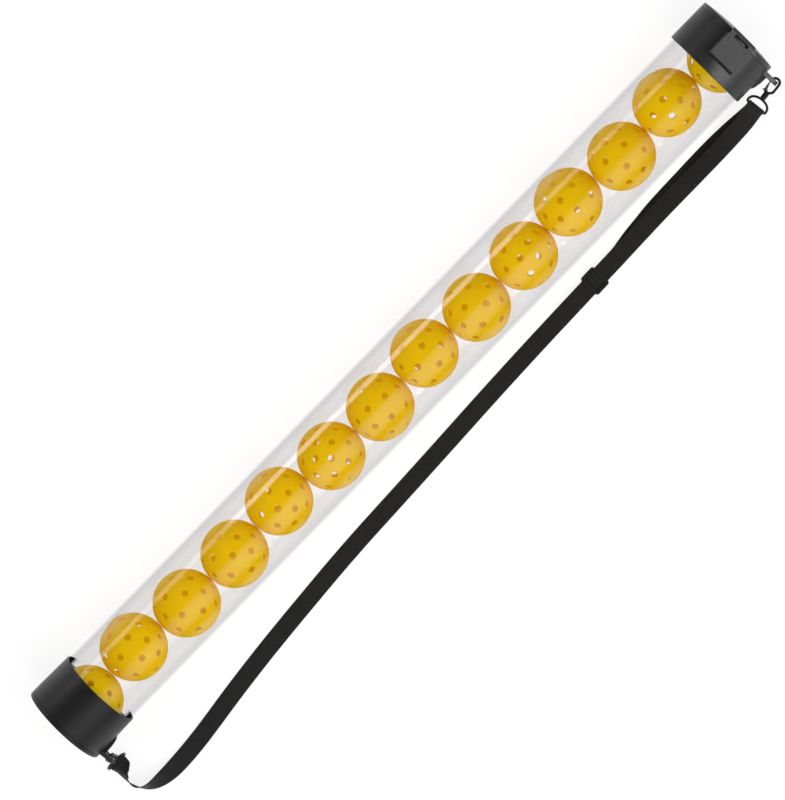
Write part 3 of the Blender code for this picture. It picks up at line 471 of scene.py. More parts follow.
def webbing_weave(name="webbing_black", grey=0.016):
    """Black woven webbing: slanted yarns that reverse at the middle, from the ribbon's own measures."""
    s = Shader(name)
    run = s.add("Attribute", attribute_name="run").outputs["Fac"]
    side = s.add("Attribute", attribute_name="side").outputs["Fac"]
    slant = s.math("ADD", run, s.math("MULTIPLY", s.math("ABSOLUTE", side), YARN_SLANT))
    yarn = s.math("SINE", s.math("MULTIPLY", slant, 2 * math.pi / YARN_PITCH))
    rib = s.math("SINE", s.math("MULTIPLY", side, 2 * math.pi / RIB_PITCH))
    weave = s.math("ADD", s.math("MULTIPLY", yarn, 0.6), s.math("MULTIPLY", rib, 0.4))
    combine = s.add("CombineXYZ")
    s.link(run, combine.inputs["X"])
    s.link(side, combine.inputs["Y"])
    fuzz = s.noise(combine.outputs["Vector"], 2400, 2.0)
    height = s.math("ADD", weave, s.math("MULTIPLY", fuzz, 0.7))
    dark, light = (grey * 0.55, grey * 0.55, grey * 0.57), (grey * 1.35, grey * 1.35, grey * 1.38)
    tone = s.mix(s.ramp(height, -0.9, 1.4), dark, light)
    return s.settle(tone, 0.82, s.bump(height, 0.00012, 0.8), Sheen_Weight=0.15, Sheen_Roughness=0.4,
                    Specular_IOR_Level=0.3)


def sewing_thread():
    """Black twisted sewing thread with a little shine."""
    s = Shader("thread_black")
    place = s.coordinates((1, 1, 1))
    twist = s.add("TexWave", bands_direction="DIAGONAL")
    twist.inputs["Scale"].default_value = 900
    s.link(place, twist.inputs["Vector"])
    tone = s.mix(twist.outputs["Fac"], (0.022, 0.022, 0.023), (0.05, 0.05, 0.052))
    return s.settle(tone, 0.55, s.bump(twist.outputs["Fac"], 0.00005, 0.7))


LOOKS = {
    "collar": black_moulding("collar_black"),
    "lid": black_moulding("lid_black", 0.012, 0.38),
    "slider": black_moulding("slider_black", 0.01, 0.38),
    "ball": ball_plastic(),
    "clear": clear_plastic(),
    "finger": finger_plastic(),
    "hook": coated_metal(),
    "steel": bright_steel(),
    "webbing": webbing_weave(),
    # The returning webbing is the same webbing drawn darker: painted shade of the layer under the long
    # strap
    "webbing_painted_shade": webbing_weave("webbing_painted_shade", 0.009),
    "thread": sewing_thread(),
}


# Round pieces


def turned(profile, segments, height, closed=True):
    """Turns a profile of (place along X, radius) once round the tube's axis."""
    bm = bmesh.new()
    loops = []
    for k in range(segments):
        t = 2 * math.pi * k / segments
        loops.append([bm.verts.new((x, r * math.cos(t), height + r * math.sin(t))) for x, r in profile])
    count = len(profile)
    for k in range(segments):
        low, high = loops[k], loops[(k + 1) % segments]
        for m in range(count if closed else count - 1):
            n = (m + 1) % count
            bm.faces.new((low[m], low[n], high[n], high[m]))
    bmesh.ops.remove_doubles(bm, verts=bm.verts, dist=1e-7)
    bmesh.ops.recalc_face_normals(bm, faces=bm.faces)
    return bm


def arc(a, b, radius, start, end, count):
    """Points of an arc about (a, b), with angles in degrees and both ends included."""
    angles = [math.radians(start + (end - start) * k / (count - 1)) for k in range(count)]
    return [(a + radius * math.cos(t), b + radius * math.sin(t)) for t in angles]


def make_tube():
    """A round tube with rounded ends, on the circle that the frame's facets lie in."""
    low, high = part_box("tube")
    half = (high.z - low.z) / 2
    height, outer = low.z + half, half / FLAT_SHARE
    inner = outer - TUBE_WALL
    near, far, edge = low.x + TUBE_EDGE, high.x - TUBE_EDGE, TUBE_EDGE
    profile = arc(near, outer - edge, edge, 180, 90, EDGE_STEPS)
    profile += arc(far, outer - edge, edge, 90, 0, EDGE_STEPS)
    profile += arc(far, inner + edge, edge, 0, -90, EDGE_STEPS)
    profile += arc(near, inner + edge, edge, -90, -180, EDGE_STEPS)
    tube = turned(profile, TUBE_SIDES, height)
    piece_of("clear_tube", tube, LOOKS["clear"], "root", ["tube"])


# Balls


def hole_directions():
    """The middle of each hole: rings of holes round both poles, those of the lower half turned."""
    for side in (1, -1):
        for from_pole, count, start in HOLE_RINGS:
            start += 0 if side == 1 else LOWER_HALF_TURN
            pole = math.radians(from_pole)
            for k in range(count):
                turn = math.radians(start + 360 * k / count)
                around = math.sin(pole)
                yield Vector((around * math.cos(turn), around * math.sin(turn), side * math.cos(pole)))


def spread(count):
    """Directions spread evenly over a sphere along a spiral."""
    golden = math.pi * (3 - math.sqrt(5))
    for k in range(count):
        height = 1 - (2 * k + 1) / count
        around = math.sqrt(1 - height**2)
        yield Vector((around * math.cos(golden * k), around * math.sin(golden * k), height))


def ball_shell():
    """A hollow ball whose holes have rounded rims."""
    bm = bmesh.new()
    rim = math.asin((HOLE_RADIUS + HOLE_EDGE) / BALL_RADIUS)
    holes = list(hole_directions())
    rim_of = {}
    for number, direction in enumerate(holes):
        side = direction.orthogonal().normalized()
        other = direction.cross(side)
        for ring in (1.0, HOLE_GUARD):
            for k in range(HOLE_SIDES):
                t = 2 * math.pi * (k + (ring > 1) / 2) / HOLE_SIDES
                out = side * math.cos(t) + other * math.sin(t)
                vert = bm.verts.new(direction * math.cos(rim * ring) + out * math.sin(rim * ring))
                if ring == 1:
                    rim_of[vert] = (number, out)
    for direction in spread(BALL_POINTS):
        if all(direction.angle(hole) > rim * HOLE_CLEAR for hole in holes):
            bm.verts.new(direction)
    bmesh.ops.convex_hull(bm, input=bm.verts[:])
    lids = [f for f in bm.faces if len({rim_of.get(v, (None, v))[0] for v in f.verts}) == 1
            and all(v in rim_of for v in f.verts)]
    bmesh.ops.delete(bm, geom=lids, context="FACES")
    outer_faces = bm.faces[:]
    rims = [e for e in bm.edges if len(e.link_faces) == 1]
    inner_radius = BALL_RADIUS - BALL_WALL
    wall = arc(BALL_RADIUS - HOLE_EDGE, rim, HOLE_EDGE, 0, -90, EDGE_STEPS)[1:]
    wall += arc(inner_radius + HOLE_EDGE, rim, HOLE_EDGE, -90, -180, EDGE_STEPS)[:-1]
    chains = {}
    for vert, (number, out) in rim_of.items():
        chain = []
        for radius, angle_place in wall:
            angle = rim + (angle_place - rim) / BALL_RADIUS
            place = holes[number] * math.cos(angle) + out * math.sin(angle)
            chain.append(bm.verts.new(place * radius))
        chains[vert] = chain
    inner = {}
    for vert in {v for f in outer_faces for v in f.verts}:
        inner[vert] = bm.verts.new(vert.co * inner_radius)
    for face in outer_faces:
        bm.faces.new([inner[v] for v in reversed(face.verts)])
    for edge in rims:
        a, b = edge.verts
        first = [a, *chains[a], inner[a]]
        second = [b, *chains[b], inner[b]]
        for k in range(len(first) - 1):
            bm.faces.new((first[k], second[k], second[k + 1], first[k + 1]))
    for vert in inner:
        vert.co *= BALL_RADIUS
    bmesh.ops.recalc_face_normals(bm, faces=bm.faces)
    seam = bm.verts.layers.float.new("from_seam")
    for vert in bm.verts:
        vert[seam] = abs(vert.co.z)
    return bm


def make_balls():
    shell = ball_shell()
    rng = random.Random(8)
    for name in sorted(n for n in NODES if n.startswith("ball_")):
        turn = Matrix.Rotation(rng.uniform(0, 2 * math.pi), 4, "X")
        tip = Matrix.Rotation(rng.uniform(0, 2 * math.pi), 4, "Y")
        ball = shell.copy()
        ball.transform(turn @ tip)
        piece_of(f"perforated_{name}", ball, LOOKS["ball"], name, [name],
                 JOINTS[f"{name}_spin"]["pos_m"])


# Webbing


def smooth_route(points, step):
    """Points about a step apart on one smooth curve through the given ones."""
    padded = [2 * points[0] - points[1], *points, 2 * points[-1] - points[-2]]
    route = []
    for a, b, c, d in zip(padded, padded[1:], padded[2:], padded[3:]):
        pieces = max(1, round((c - b).to_3d().length / step))
        for k in range(pieces):
            t = k / pieces
            route.append(
                0.5 * (2 * b + (c - a) * t + (2 * a - 5 * b + 4 * c - d) * t**2
                       + (3 * b - a - 3 * c + d) * t**3)
            )
    return route + [points[-1].copy()]


def smoothstep(t):
    t = min(1, max(0, t))
    return t * t * (3 - 2 * t)


def on_floor(x, y, roll=0):
    """A place of the webbing's middle on the floor, rolled by some degrees on to its edge."""
    turn = math.radians(roll)
    height = STRAP_WIDTH / 2 * math.sin(turn) + STRAP_THICKNESS / 2 * math.cos(turn)
    return Vector((x, y, STRAP_GAP + height, turn))


def raised(x, y, z, roll=0):
    return Vector((x, y, z, math.radians(roll)))


def along_slider(distance, height):
    """A place of the webbing's middle on the slider's own line."""
    x, y = SLIDER_PLACE
    return raised(x + distance * math.cos(SLIDER_TURN), y + distance * math.sin(SLIDER_TURN), height)


def leaving(bar, bar_way, toward):
    """A place that webbing passes as it leaves a bar at right angles towards a direction."""
    way = Vector(toward)
    way = (way - bar_way * way.dot(bar_way)).normalized()
    return raised(*(bar + way * LEAVE_LENGTH))


def main_route(lower_bar, lower_way, upper_bar, upper_way):
    """The middle of the webbing, with its roll, from the lower ring's bar to the upper one's."""
    chosen = [
        raised(-0.0082, -0.0800, 0.0106, 38), raised(-0.0104, -0.0842, 0.0104, 62),
        raised(-0.0116, -0.0893, 0.0102, 74), on_floor(-0.0120, -0.0943, 80),
        on_floor(-0.0112, -0.1010, 86), on_floor(-0.0078, -0.1068, 80),
        on_floor(-0.0015, -0.1117, 66), on_floor(0.0072, -0.1150, 48),
        on_floor(0.0192, -0.1171, 30), on_floor(0.0332, -0.1178, 15), on_floor(0.0532, -0.1170, 5),
        on_floor(0.0742, -0.1151), on_floor(0.0958, -0.1124), on_floor(0.1396, -0.1064),
        on_floor(0.1833, -0.1013), on_floor(0.2270, -0.0971), on_floor(0.2707, -0.0935),
        on_floor(0.3142, -0.0902), on_floor(0.3577, -0.0877), on_floor(0.4011, -0.0860),
        on_floor(0.4445, -0.0843), on_floor(0.4878, -0.0825), on_floor(0.5311, -0.0806),
        on_floor(0.5743, -0.0788), on_floor(0.6172, -0.0773), on_floor(0.6450, -0.0765),
        along_slider(-SLIDER_RUN - SLIDER_RAMP, STRAP_REST),
        along_slider(-SLIDER_RUN, SLIDER_STRAP_HEIGHT), along_slider(-SLIDER_LEVEL, SLIDER_STRAP_HEIGHT),
        along_slider(SLIDER_LEVEL, SLIDER_STRAP_HEIGHT), along_slider(SLIDER_RUN, SLIDER_STRAP_HEIGHT),
        along_slider(SLIDER_RUN + SLIDER_RAMP, STRAP_REST + LAYER),
        raised(0.8322, -0.0720, STRAP_REST + LAYER), raised(0.8748, -0.0718, STRAP_REST + LAYER),
        raised(0.8960, -0.0717, 0.0026), raised(0.9150, -0.0715, 0.0045), raised(0.9330, -0.0711, 0.0098),
        raised(0.9500, -0.0704, 0.0188), raised(0.9640, -0.0694, 0.0288),
    ]
    start = leaving(lower_bar, lower_way, LOWER_LEAVE)
    end = leaving(upper_bar, upper_way, UPPER_LEAVE)
    return [raised(*lower_bar), start, *chosen, end, raised(*upper_bar)]


def return_route(upper_bar, upper_way):
    """The middle of the webbing that comes back under the long strap, from the slider's core."""
    double = STRAP_REST + LAYER / 2
    chosen = [
        along_slider(0, SLIDER_CORE_HEIGHT), along_slider(LEAVE_LENGTH, double + STRAP_GAP),
        along_slider(LEAVE_LENGTH * 2, double), along_slider(LAP_LENGTH, double),
        along_slider(LAP_LENGTH + MEET, STRAP_REST),
        on_floor(0.7902, -0.0702), on_floor(0.8072, -0.0686), on_floor(0.8322, -0.0664),
        on_floor(0.8748, -0.0653), on_floor(0.8960, -0.0648), raised(0.9150, -0.0646, 0.0020),
        raised(0.9330, -0.0649, 0.0067), raised(0.9500, -0.0657, 0.0153), raised(0.9640, -0.0668, 0.0250),
    ]
    return chosen + [leaving(upper_bar, upper_way, UPPER_LEAVE), raised(*upper_bar)]


def webbing(route, first_way, last_way):
    """Samples of (place, way, width, run) along a route, turned to the bars at both of its ends."""
    marks = smooth_route(route, STRAP_STEP)
    places = [mark.to_3d() for mark in marks]
    runs = [0.0]
    for before, after in zip(places, places[1:]):
        runs.append(runs[-1] + (after - before).length)
    samples = []
    for k, (mark, place, run) in enumerate(zip(marks, places, runs)):
        way = (places[min(k + 1, len(places) - 1)] - places[max(k - 1, 0)]).normalized()
        width = Matrix.Rotation(mark.w, 3, way) @ Vector((-way.y, way.x, 0)).normalized()
        width = first_way.lerp(width, smoothstep(run / FIRST_TURN_IN))
        width = last_way.lerp(width, smoothstep((runs[-1] - run) / TURN_IN))
        width = (width - way * width.dot(way)).normalized()
        samples.append((place, way, width, run))
    return samples


def layer(samples, near, far, end=0.0):
    """Moves samples off their line: near beside the first bar, far up to the lap, end at the last."""
    total = samples[-1][3]
    moved = []
    for place, way, width, run in samples:
        beside = far * (1 - smoothstep((run - LAP_LENGTH) / MEET))
        amount = beside + (near - far) * (1 - smoothstep(run / MEET))
        amount += end * (1 - smoothstep((total - run) / MEET))
        moved.append((place + way.cross(width) * amount, width))
    return moved


def turn_round(bar, way, face, width, radius, share=1.0):
    """The webbing's turn round a bar, from the side of its face over the way it comes."""
    turns = [math.pi * share * k / WRAP_STEPS for k in range(1, WRAP_STEPS + 1)]
    return [(bar + radius * (face * math.cos(t) + way * math.sin(t)), width) for t in turns]


def strap_section():
    """The webbing's cross-section as (across, off the face), with rounded selvedges."""
    half, thick = STRAP_WIDTH / 2, STRAP_THICKNESS / 2
    inner = half - thick
    across = [inner * (-1 + 2 * k / STRAP_SPANS) for k in range(STRAP_SPANS + 1)]
    section = [(a, thick) for a in across] + arc(inner, 0, thick, 90, -90, 5)[1:-1]
    section += [(-a, -thick) for a in across] + arc(-inner, 0, thick, -90, -270, 5)[1:-1]
    return section


def ribbon_mesh(samples):
    """Flat webbing through samples of (place, direction of its width), with its run and side measured."""
    bm = bmesh.new()
    run_layer = bm.verts.layers.float.new("run")
    side_layer = bm.verts.layers.float.new("side")
    section = strap_section()
    rings, run = [], 0.0
    for k, (place, width) in enumerate(samples):
        before = samples[max(k - 1, 0)][0]
        after = samples[min(k + 1, len(samples) - 1)][0]
        along = (after - before).normalized()
        width = (width - along * width.dot(along)).normalized()
        face = along.cross(width)
        run += (place - before).length
        ring = []
        for a, b in section:
            vert = bm.verts.new(place + width * a + face * b)
            vert[run_layer] = run
            vert[side_layer] = a
            ring.append(vert)
        rings.append(ring)
    count = len(section)
    for low, high in zip(rings, rings[1:]):
        for k in range(count):
            n = (k + 1) % count
            bm.faces.new((low[k], low[n], high[n], high[k]))
    bm.faces.new(list(reversed(rings[0])))
    bm.faces.new(rings[-1])
    bmesh.ops.recalc_face_normals(bm, faces=bm.faces)
    return bm


def thread_bit(bm, start, end, off):
    """One stitch: a short bulging thread whose ends dip into the webbing."""
    along = (end - start).normalized()
    beside = along.cross(off)
    turns = [2 * math.pi * k / THREAD_SIDES for k in range(THREAD_SIDES)]
    rings = []
    for share, size, lift in THREAD_SHAPE:
        middle = start.lerp(end, share) + off * lift * THREAD_RADIUS
        outs = [(off * math.sin(t) + beside * math.cos(t)) * THREAD_RADIUS * size for t in turns]
        rings.append([bm.verts.new(middle + out) for out in outs])
    for low, high in zip(rings, rings[1:]):
        for k in range(THREAD_SIDES):
            n = (k + 1) % THREAD_SIDES
            bm.faces.new((low[k], low[n], high[n], high[k]))
    bm.faces.new(rings[0])
    bm.faces.new(rings[-1])


def stitched_lap(name, line, body):
    """A sewn box of stitches on both faces of a lap, on the line that its two layers lie beside."""
    bm = bmesh.new()

    def on_face(run, side, face):
        before, after = next(pair for pair in zip(line, line[1:]) if pair[0][3] <= run <= pair[1][3])
        share = (run - before[3]) / (after[3] - before[3])
        place = before[0].lerp(after[0], share)
        width = before[2].lerp(after[2], share).normalized()
        off = (after[0] - before[0]).normalized().cross(width) * face
        return place + width * side + off * (LAYER + STRAP_THICKNESS) / 2, off

    def row(first, last, face):
        """Sews stitches between two corners, each given as (run, side)."""
        first, last = Vector(first), Vector(last)
        count = round((last - first).length / (STITCH_LENGTH + STITCH_GAP))
        held = STITCH_LENGTH / (STITCH_LENGTH + STITCH_GAP)
        for k in range(count):
            start, off = on_face(*first.lerp(last, (k + (1 - held) / 2) / count), face)
            end, off = on_face(*first.lerp(last, (k + (1 + held) / 2) / count), face)
            thread_bit(bm, start, end, off)

    near, far = SEAM_RUNS
    corners = [(near, -SEAM_SIDE), (near, SEAM_SIDE), (far, SEAM_SIDE), (far, -SEAM_SIDE)]
    for face in (1, -1):
        for first, last in zip(corners, corners[1:] + corners[:1]):
            row(first, last, face)
        row(corners[0], corners[2], face)
    bmesh.ops.recalc_face_normals(bm, faces=bm.faces)
    piece_of(name, bm, LOOKS["thread"], body)


# Hooks and rings


def hook_frame(end):
    """The frame of a hook: u along it, v towards its gate, w along the gate's pin."""
    u = Vector(JOINTS[f"{end}_swivel"]["axis"]).normalized()
    w = -Vector(JOINTS[f"{end}_gate_hinge"]["axis"]).normalized()
    v = w.cross(u).normalized()
    matrix = Matrix((u, v, w)).transposed().to_4x4()
    return Matrix.Translation(JOINTS[f"{end}_swivel"]["pos_m"]) @ matrix


def joined(parts):
    """One mesh of several, which are used up."""
    whole = bmesh.new()
    for part in parts:
        mesh = bpy.data.meshes.new("part")
        part.to_mesh(mesh)
        part.free()
        whole.from_mesh(mesh)
        bpy.data.meshes.remove(mesh)
    return whole


def wire(points, radii, closed=False):
    """A round wire on a hook's own plane, with its radius at each of its points."""
    bm = bmesh.new()
    count = len(points)
    turns = [2 * math.pi * k / WIRE_SIDES for k in range(WIRE_SIDES)]
    rings = []
    for k, (point, radius) in enumerate(zip(points, radii)):
        before = points[k - 1] if closed or k else point
        after = points[(k + 1) % count] if closed or k < count - 1 else point
        along = (after - before).normalized()
        side, off = Vector((-along.y, along.x, 0)), Vector((0, 0, 1))
        outs = [(side * math.cos(t) + off * math.sin(t)) * radius for t in turns]
        rings.append([bm.verts.new(point + out) for out in outs])
    pairs = list(zip(rings, rings[1:]))
    if closed:
        pairs.append((rings[-1], rings[0]))
    else:
        bm.faces.new(rings[0])
        bm.faces.new(rings[-1])
    for low, high in pairs:
        for k in range(WIRE_SIDES):
            n = (k + 1) % WIRE_SIDES
            bm.faces.new((low[k], low[n], high[n], high[k]))
    bmesh.ops.recalc_face_normals(bm, faces=bm.faces)
    return bm


def plate(outline, low, high):
    """A flat plate of an outline on a hook's own plane, from one level to another."""
    bm = bmesh.new()
    bottom = [bm.verts.new((u, v, low)) for u, v in outline]
    top = [bm.verts.new((u, v, high)) for u, v in outline]
    bm.faces.new(bottom)
    bm.faces.new(top)
    for k in range(len(outline)):
        n = (k + 1) % len(outline)
        bm.faces.new((bottom[k], bottom[n], top[n], top[k]))
    bmesh.ops.recalc_face_normals(bm, faces=bm.faces)
    return bm


def hook_wire():
    """The hook's bent wire, from inside the barrel up the spine and round to the nose."""
    path = [(-HOOK_LENGTH - BARREL_WALL, 0), (-HOOK_LENGTH + WIRE_EXIT[0], WIRE_EXIT[1])]
    path += [(-SPINE_PLACE + HOOK_HALF * along, HOOK_HALF * aside) for along, aside in SPINE_BEND]
    path += arc(-HOOK_HALF, 0, HOOK_HALF, -90, 90, 9) + [(-NOSE_END + NOSE_ROUND, HOOK_HALF)]
    points = smooth_route([Vector((u, v, 0)) for u, v in path], WIRE_STEP)
    radii = [WIRE_RADIUS] * len(points)
    for angle in (30, 60, 90):
        turn = math.radians(angle)
        points.append(Vector((-NOSE_END + NOSE_ROUND * (1 - math.sin(turn)), HOOK_HALF, 0)))
        radii.append(WIRE_RADIUS - NOSE_ROUND * (1 - math.cos(turn)))
    return wire(points, radii)


def hook_barrel():
    """The hook's barrel, with a chamber for the head of the ring's post."""
    front, back = -HOOK_LENGTH, -HOOK_LENGTH - BARREL_LENGTH
    chamber, corner = POST_RADIUS + POST_HEAD, BARREL_RADIUS - BARREL_EDGE
    outline = [(front, 0)] + arc(front - BARREL_EDGE, corner, BARREL_EDGE, 0, 90, 5)
    outline += arc(back + BARREL_EDGE, corner, BARREL_EDGE, 90, 180, 5)
    outline += [(back, POST_RADIUS + SEAT_GAP), (back + BARREL_WALL, POST_RADIUS + SEAT_GAP)]
    outline += [(back + BARREL_WALL, chamber), (front - 2 * BARREL_WALL, chamber)]
    outline += [(front - 2 * BARREL_WALL, 0)]
    return turned(outline, BARREL_SIDES, 0, closed=False)


def hook_fork():
    """The two cheeks that hold the gate's pin, and the web between them."""
    front = -HOOK_LENGTH
    pin_u, pin_v = GATE_PIN
    cheek = [(front - 2 * FORK_FOOT, CHEEK_LOW), (front - 2 * FORK_FOOT, CHEEK_HIGH)]
    cheek += arc(pin_u, pin_v, GATE_EYE, *EYE_ARC, 9)
    cheek += [(pin_u, pin_v - EYE_THROAT), (front + FORK_FOOT, CHEEK_LOW)]
    web = [(front - FORK_FOOT, WEB_LOW), (front - FORK_FOOT, FORK_FLOOR)]
    web += [(pin_u - SEAT_GAP, FORK_FLOOR), (front + FORK_FOOT, WEB_LOW)]
    web_half = FORK_INSIDE + SEAT_GAP
    cheeks = [plate(cheek, FORK_INSIDE, FORK_OUTSIDE), plate(cheek, -FORK_OUTSIDE, -FORK_INSIDE)]
    return cheeks + [plate(web, -web_half, web_half)]


def make_hook(end):
    """A swivel hook's body: the wire, the barrel and the fork."""
    bm = joined([hook_wire(), hook_barrel(), *hook_fork()])
    bm.transform(hook_frame(end))
    body = piece_of(f"{end}_hook_body", bm, LOOKS["hook"], f"{end}_hook", [f"{end}_hook"])
    soften(body, HOOK_EDGE)


def make_leaf_spring(end):
    """The gate's leaf spring, from the frame's mesh, with its edges rounded."""
    node = f"{end}_gate_spring"
    bm = bmesh.new()
    bm.from_mesh(NODES[node].data)
    bmesh.ops.remove_doubles(bm, verts=bm.verts, dist=WELD_DISTANCE)
    leaf = object_of(f"{end}_leaf_spring", bm, LOOKS["steel"])
    soften(leaf, LEAF_EDGE)
    matrix = hook_frame(end)
    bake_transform(leaf)
    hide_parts(node)


def make_ring(end):
    """The webbing's D ring with the headed post that turns in the barrel."""
    side = arc(RING_BAR + RING_CORNER, RING_HALF - RING_CORNER, RING_CORNER, 180, 90, 7)
    bow = []
    for k in range(1, RING_STEPS):
        t = math.pi * k / RING_STEPS
        sag = (RING_DEPTH - RING_CORNER) * (1 - math.sin(t) ** RING_FULLNESS)
        bow.append((RING_APEX - sag, RING_HALF * math.cos(t)))
    path = [Vector((u, v, 0)) for u, v in side + bow + [(u, -v) for u, v in reversed(side)]]
    neck = -HOOK_LENGTH - BARREL_LENGTH + BARREL_WALL + SEAT_GAP
    head = POST_RADIUS + POST_HEAD - SEAT_GAP
    post = [(RING_APEX, 0), (RING_APEX, POST_RADIUS), (neck, POST_RADIUS), (neck, head)]
    post += [(neck + POST_RADIUS, head), (neck + POST_RADIUS, 0)]
    ring = wire(path, [RING_RADIUS] * len(path), closed=True)
    bm = joined([ring, turned(post, POST_SIDES, 0, closed=False)])
    bm.transform(hook_frame(end))
    piece = piece_of(f"{end}_webbing_ring", bm, LOOKS["hook"], "root", [f"{end}_ring"])
    soften(piece, FINE_EDGE)


def bar_of(end):
    """The middle of a D ring's bar, and the direction of its length."""
    matrix = hook_frame(end)
    return matrix @ Vector((RING_BAR, 0, 0)), matrix.to_3x3() @ Vector((0, 1, 0))


# Both stretches of webbing


def make_long_strap():
    """The webbing from its sewn lap on the lower ring to its turn round the upper ring's bar."""
    lower_bar, lower_way = bar_of("lower")
    upper_bar, upper_way = bar_of("upper")
    line = webbing(main_route(lower_bar, lower_way, upper_bar, upper_way), lower_way, upper_way)
    lap = layer([sample for sample in line if sample[3] <= LAP_LENGTH], -RING_WRAP, -LAYER / 2)
    place, way, width, _ = line[0]
    first_turn = turn_round(place, -way, -way.cross(width), width, RING_WRAP)
    stretch = layer(line, RING_WRAP, LAYER / 2, RING_WRAP)
    place, way, width, total = line[-1]
    # The last turn ends just short of the stretch that comes back
    share = 1 - 1.5 * STRAP_GAP / RING_WRAP / math.pi
    last_turn = turn_round(place, way, way.cross(width), width, RING_WRAP, share)
    ribbon = ribbon_mesh(lap[::-1] + first_turn[:-1] + stretch + last_turn)
    strap = piece_of("strap_webbing", ribbon, LOOKS["webbing"], "root", ["strap"])
    middle = [sample[0] for sample in line]
    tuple(middle[0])
    stitched_lap("ring_lap_stitches", line, "root")


def make_return_strap():
    """The webbing that comes back under the long stretch, sewn round the slider's core."""
    upper_bar, upper_way = bar_of("upper")
    slider_way = Vector((-math.sin(SLIDER_TURN), math.cos(SLIDER_TURN), 0))
    line = webbing(return_route(upper_bar, upper_way), slider_way, upper_way)
    lap = [sample for sample in line if sample[3] <= LAP_LENGTH + STRAP_GAP]
    lap = layer(lap, SLIDER_WRAP, LAYER / 2)
    place, way, width, _ = line[0]
    turn = turn_round(place, -way, way.cross(width), width, SLIDER_WRAP)
    stretch = layer(line, -SLIDER_WRAP, -LAYER / 2, -RING_WRAP)
    stitched_lap("slider_lap_stitches", line, "slider")
    ribbon = ribbon_mesh(lap[::-1] + turn[:-1] + stretch)
    # The darker webbing here is painted shade of the layer that lies under the long strap
    back = object_of("strap_return_webbing", ribbon, LOOKS["webbing_painted_shade"])
    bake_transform(back)
    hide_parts("strap_return")
    middle = [sample[0] for sample in reversed(line)]
    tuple(middle[0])


def finish_pieces():
    """Dresses each piece that keeps the frame's mesh, and makes the hooks, rings and springs."""
    for name in ("lower_collar", "upper_collar", "front_ring"):
        dress(name, LOOKS["collar"], MOULDED_EDGE)
    dress("lid", LOOKS["lid"], MOULDED_EDGE)
    dress("slider", LOOKS["slider"], MOULDED_EDGE)
    dress("finger_ring", LOOKS["finger"], THIN_EDGE)
    for end in ("lower", "upper"):
        make_hook(end)
        make_ring(end)
        make_leaf_spring(end)
        for part in ("gate", "gate_pin"):
            dress(f"{end}_{part}", LOOKS["steel"], FINE_EDGE)
    dress("hinge_pin", LOOKS["steel"], THIN_EDGE)


# Stage


def soft_floor():
    """A white floor. Most of what the eye, gloss and glass see of it glows, so shadows stay faint."""
    s = Shader("floor_white")
    place = s.coordinates((1, 1, 1))
    s.settle(s.mix(s.noise(place, 3), *FLOOR_TONES), 0.9, Specular_IOR_Level=0.0)
    path = s.add("LightPath")
    seen = s.math("MAXIMUM", path.outputs["Is Camera Ray"], path.outputs["Is Glossy Ray"])
    seen = s.math("MAXIMUM", seen, path.outputs["Is Transmission Ray"])
    glow = s.add("Emission")
    glow.inputs["Strength"].default_value = FLOOR_GLOW
    share = s.math("MULTIPLY", seen, FLOOR_SHARE)
    both = s.blend(share, s.main.outputs["BSDF"], glow.outputs["Emission"])
    s.link(both, s.output.inputs["Surface"])
    return s.material


def make_floor():
    mesh = bpy.data.meshes.new("floor")
    sides = ((-1, -1), (1, -1), (1, 1), (-1, 1))
    corners = [(x * FLOOR_HALF, y * FLOOR_HALF, FLOOR_LEVEL) for x, y in sides]
    mesh.from_pydata(corners, [], [(0, 1, 2, 3)])
    mesh.materials.append(soft_floor())
    floor = bpy.data.objects.new("floor", mesh)
    bpy.context.scene.collection.objects.link(floor)


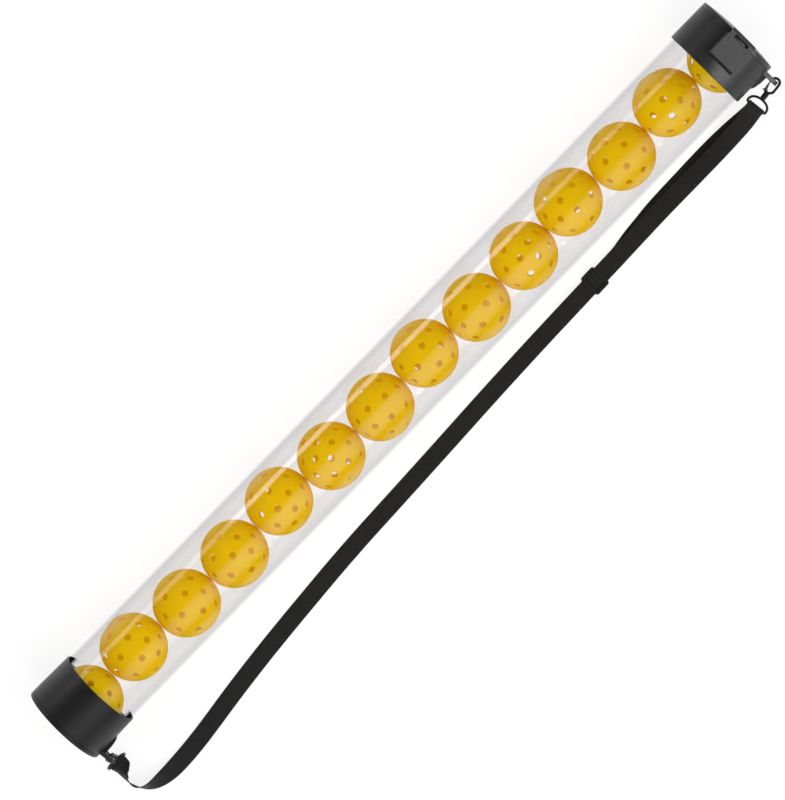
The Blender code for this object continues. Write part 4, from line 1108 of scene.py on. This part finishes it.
def make_world():
    """A white studio that glossy surfaces see darken towards its ceiling."""
    world = bpy.data.worlds.new("studio")
    bpy.context.scene.world = world
    world.use_nodes = True
    tree = world.node_tree
    shade = tree.nodes["Background"]
    path = tree.nodes.new("ShaderNodeLightPath")
    place = tree.nodes.new("ShaderNodeTexCoord")
    parts = tree.nodes.new("ShaderNodeSeparateXYZ")
    tree.links.new(place.outputs["Generated"], parts.inputs["Vector"])

    def between(value, low, high, to_low, to_high):
        """A level that goes smoothly from one number or socket to another as the value rises."""
        node = tree.nodes.new("ShaderNodeMapRange")
        node.interpolation_type = "SMOOTHSTEP"
        for key, number in zip(RANGE_SOCKETS, (low, high, to_low, to_high)):
            socket = node.inputs[key]
            if isinstance(number, (int, float)):
                socket.default_value = number
            else:
                tree.links.new(number, socket)
        tree.links.new(value, node.inputs["Value"])
        return node.outputs["Result"]

    toward = tree.nodes.new("ShaderNodeVectorMath")
    toward.operation = "DOT_PRODUCT"
    tree.links.new(place.outputs["Generated"], toward.inputs[0])
    toward.inputs[1].default_value = Vector(SOFTBOX_WAY).normalized()
    ceiling = between(toward.outputs["Value"], *SOFTBOX_RISE, CEILING_LIGHT, SOFTBOX_LIGHT)
    in_gloss = between(parts.outputs["Z"], *GLOSS_RISE, HORIZON_LIGHT, ceiling)
    through_glass = between(parts.outputs["Z"], *GLASS_RISE, 1.0, ceiling)
    level = between(path.outputs["Is Glossy Ray"], 0, 1, WORLD_LIGHT, in_gloss)
    level = between(path.outputs["Is Transmission Ray"], 0, 1, level, through_glass)
    level = between(path.outputs["Is Camera Ray"], 0, 1, level, 1.0)
    tree.links.new(level, shade.inputs["Strength"])
    shade.inputs["Color"].default_value = (1, 1, 1, 1)


def add_lamp(name, place, size, radiance, colour=(1, 1, 1), shows=True, only_on=()):
    """A rectangular lamp at a place from the camera's target, its first side along the tube."""
    data = bpy.data.lights.new(name, "AREA")
    data.shape = "RECTANGLE"
    data.size, data.size_y = size
    data.energy = radiance * math.pi * size[0] * size[1]
    data.color = colour
    lamp = bpy.data.objects.new(name, data)
    lamp.visible_camera = False
    lamp.visible_transmission = shows
    lamp.visible_glossy = shows
    if only_on:
        lit = bpy.data.collections.new(f"lit_by_{name}")
        for node in only_on:
            lit.objects.link(NODES[node])
        lamp.light_linking.receiver_collection = lit
    back = Vector((0, place[1], place[2])).normalized()
    along = Vector((1, 0, 0))
    turn = Matrix((along, back.cross(along), back)).transposed().to_4x4()
    lamp.matrix_world = Matrix.Translation(CAMERA_TARGET + Vector(place)) @ turn
    bpy.context.scene.collection.objects.link(lamp)


def make_camera():
    along = Vector((math.cos(CAMERA_LEAN), 0, -math.sin(CAMERA_LEAN)))
    back = Vector((math.sin(CAMERA_LEAN), 0, math.cos(CAMERA_LEAN)))
    across = Vector((0, -1, 0))
    right = along * math.cos(CAMERA_TURN) + across * math.sin(CAMERA_TURN)
    up = along * math.sin(CAMERA_TURN) - across * math.cos(CAMERA_TURN)
    data = bpy.data.cameras.new("camera")
    data.lens = FOCAL_LENGTH
    data.clip_end = 50
    camera = bpy.data.objects.new("camera", data)
    turn = Matrix((right, up, back)).transposed().to_4x4()
    camera.matrix_world = Matrix.Translation(CAMERA_TARGET + back * CAMERA_DISTANCE) @ turn
    bpy.context.scene.collection.objects.link(camera)
    bpy.context.scene.camera = camera


make_camera()
make_floor()
make_world()
add_lamp("key", **KEY_LAMP)
add_lamp("end", **END_LAMP)
add_lamp("strip", **STRIP_LAMP)
make_tube()
make_balls()
make_long_strap()
make_return_strap()
finish_pieces()
bpy.context.scene.view_settings.view_transform = "Standard"
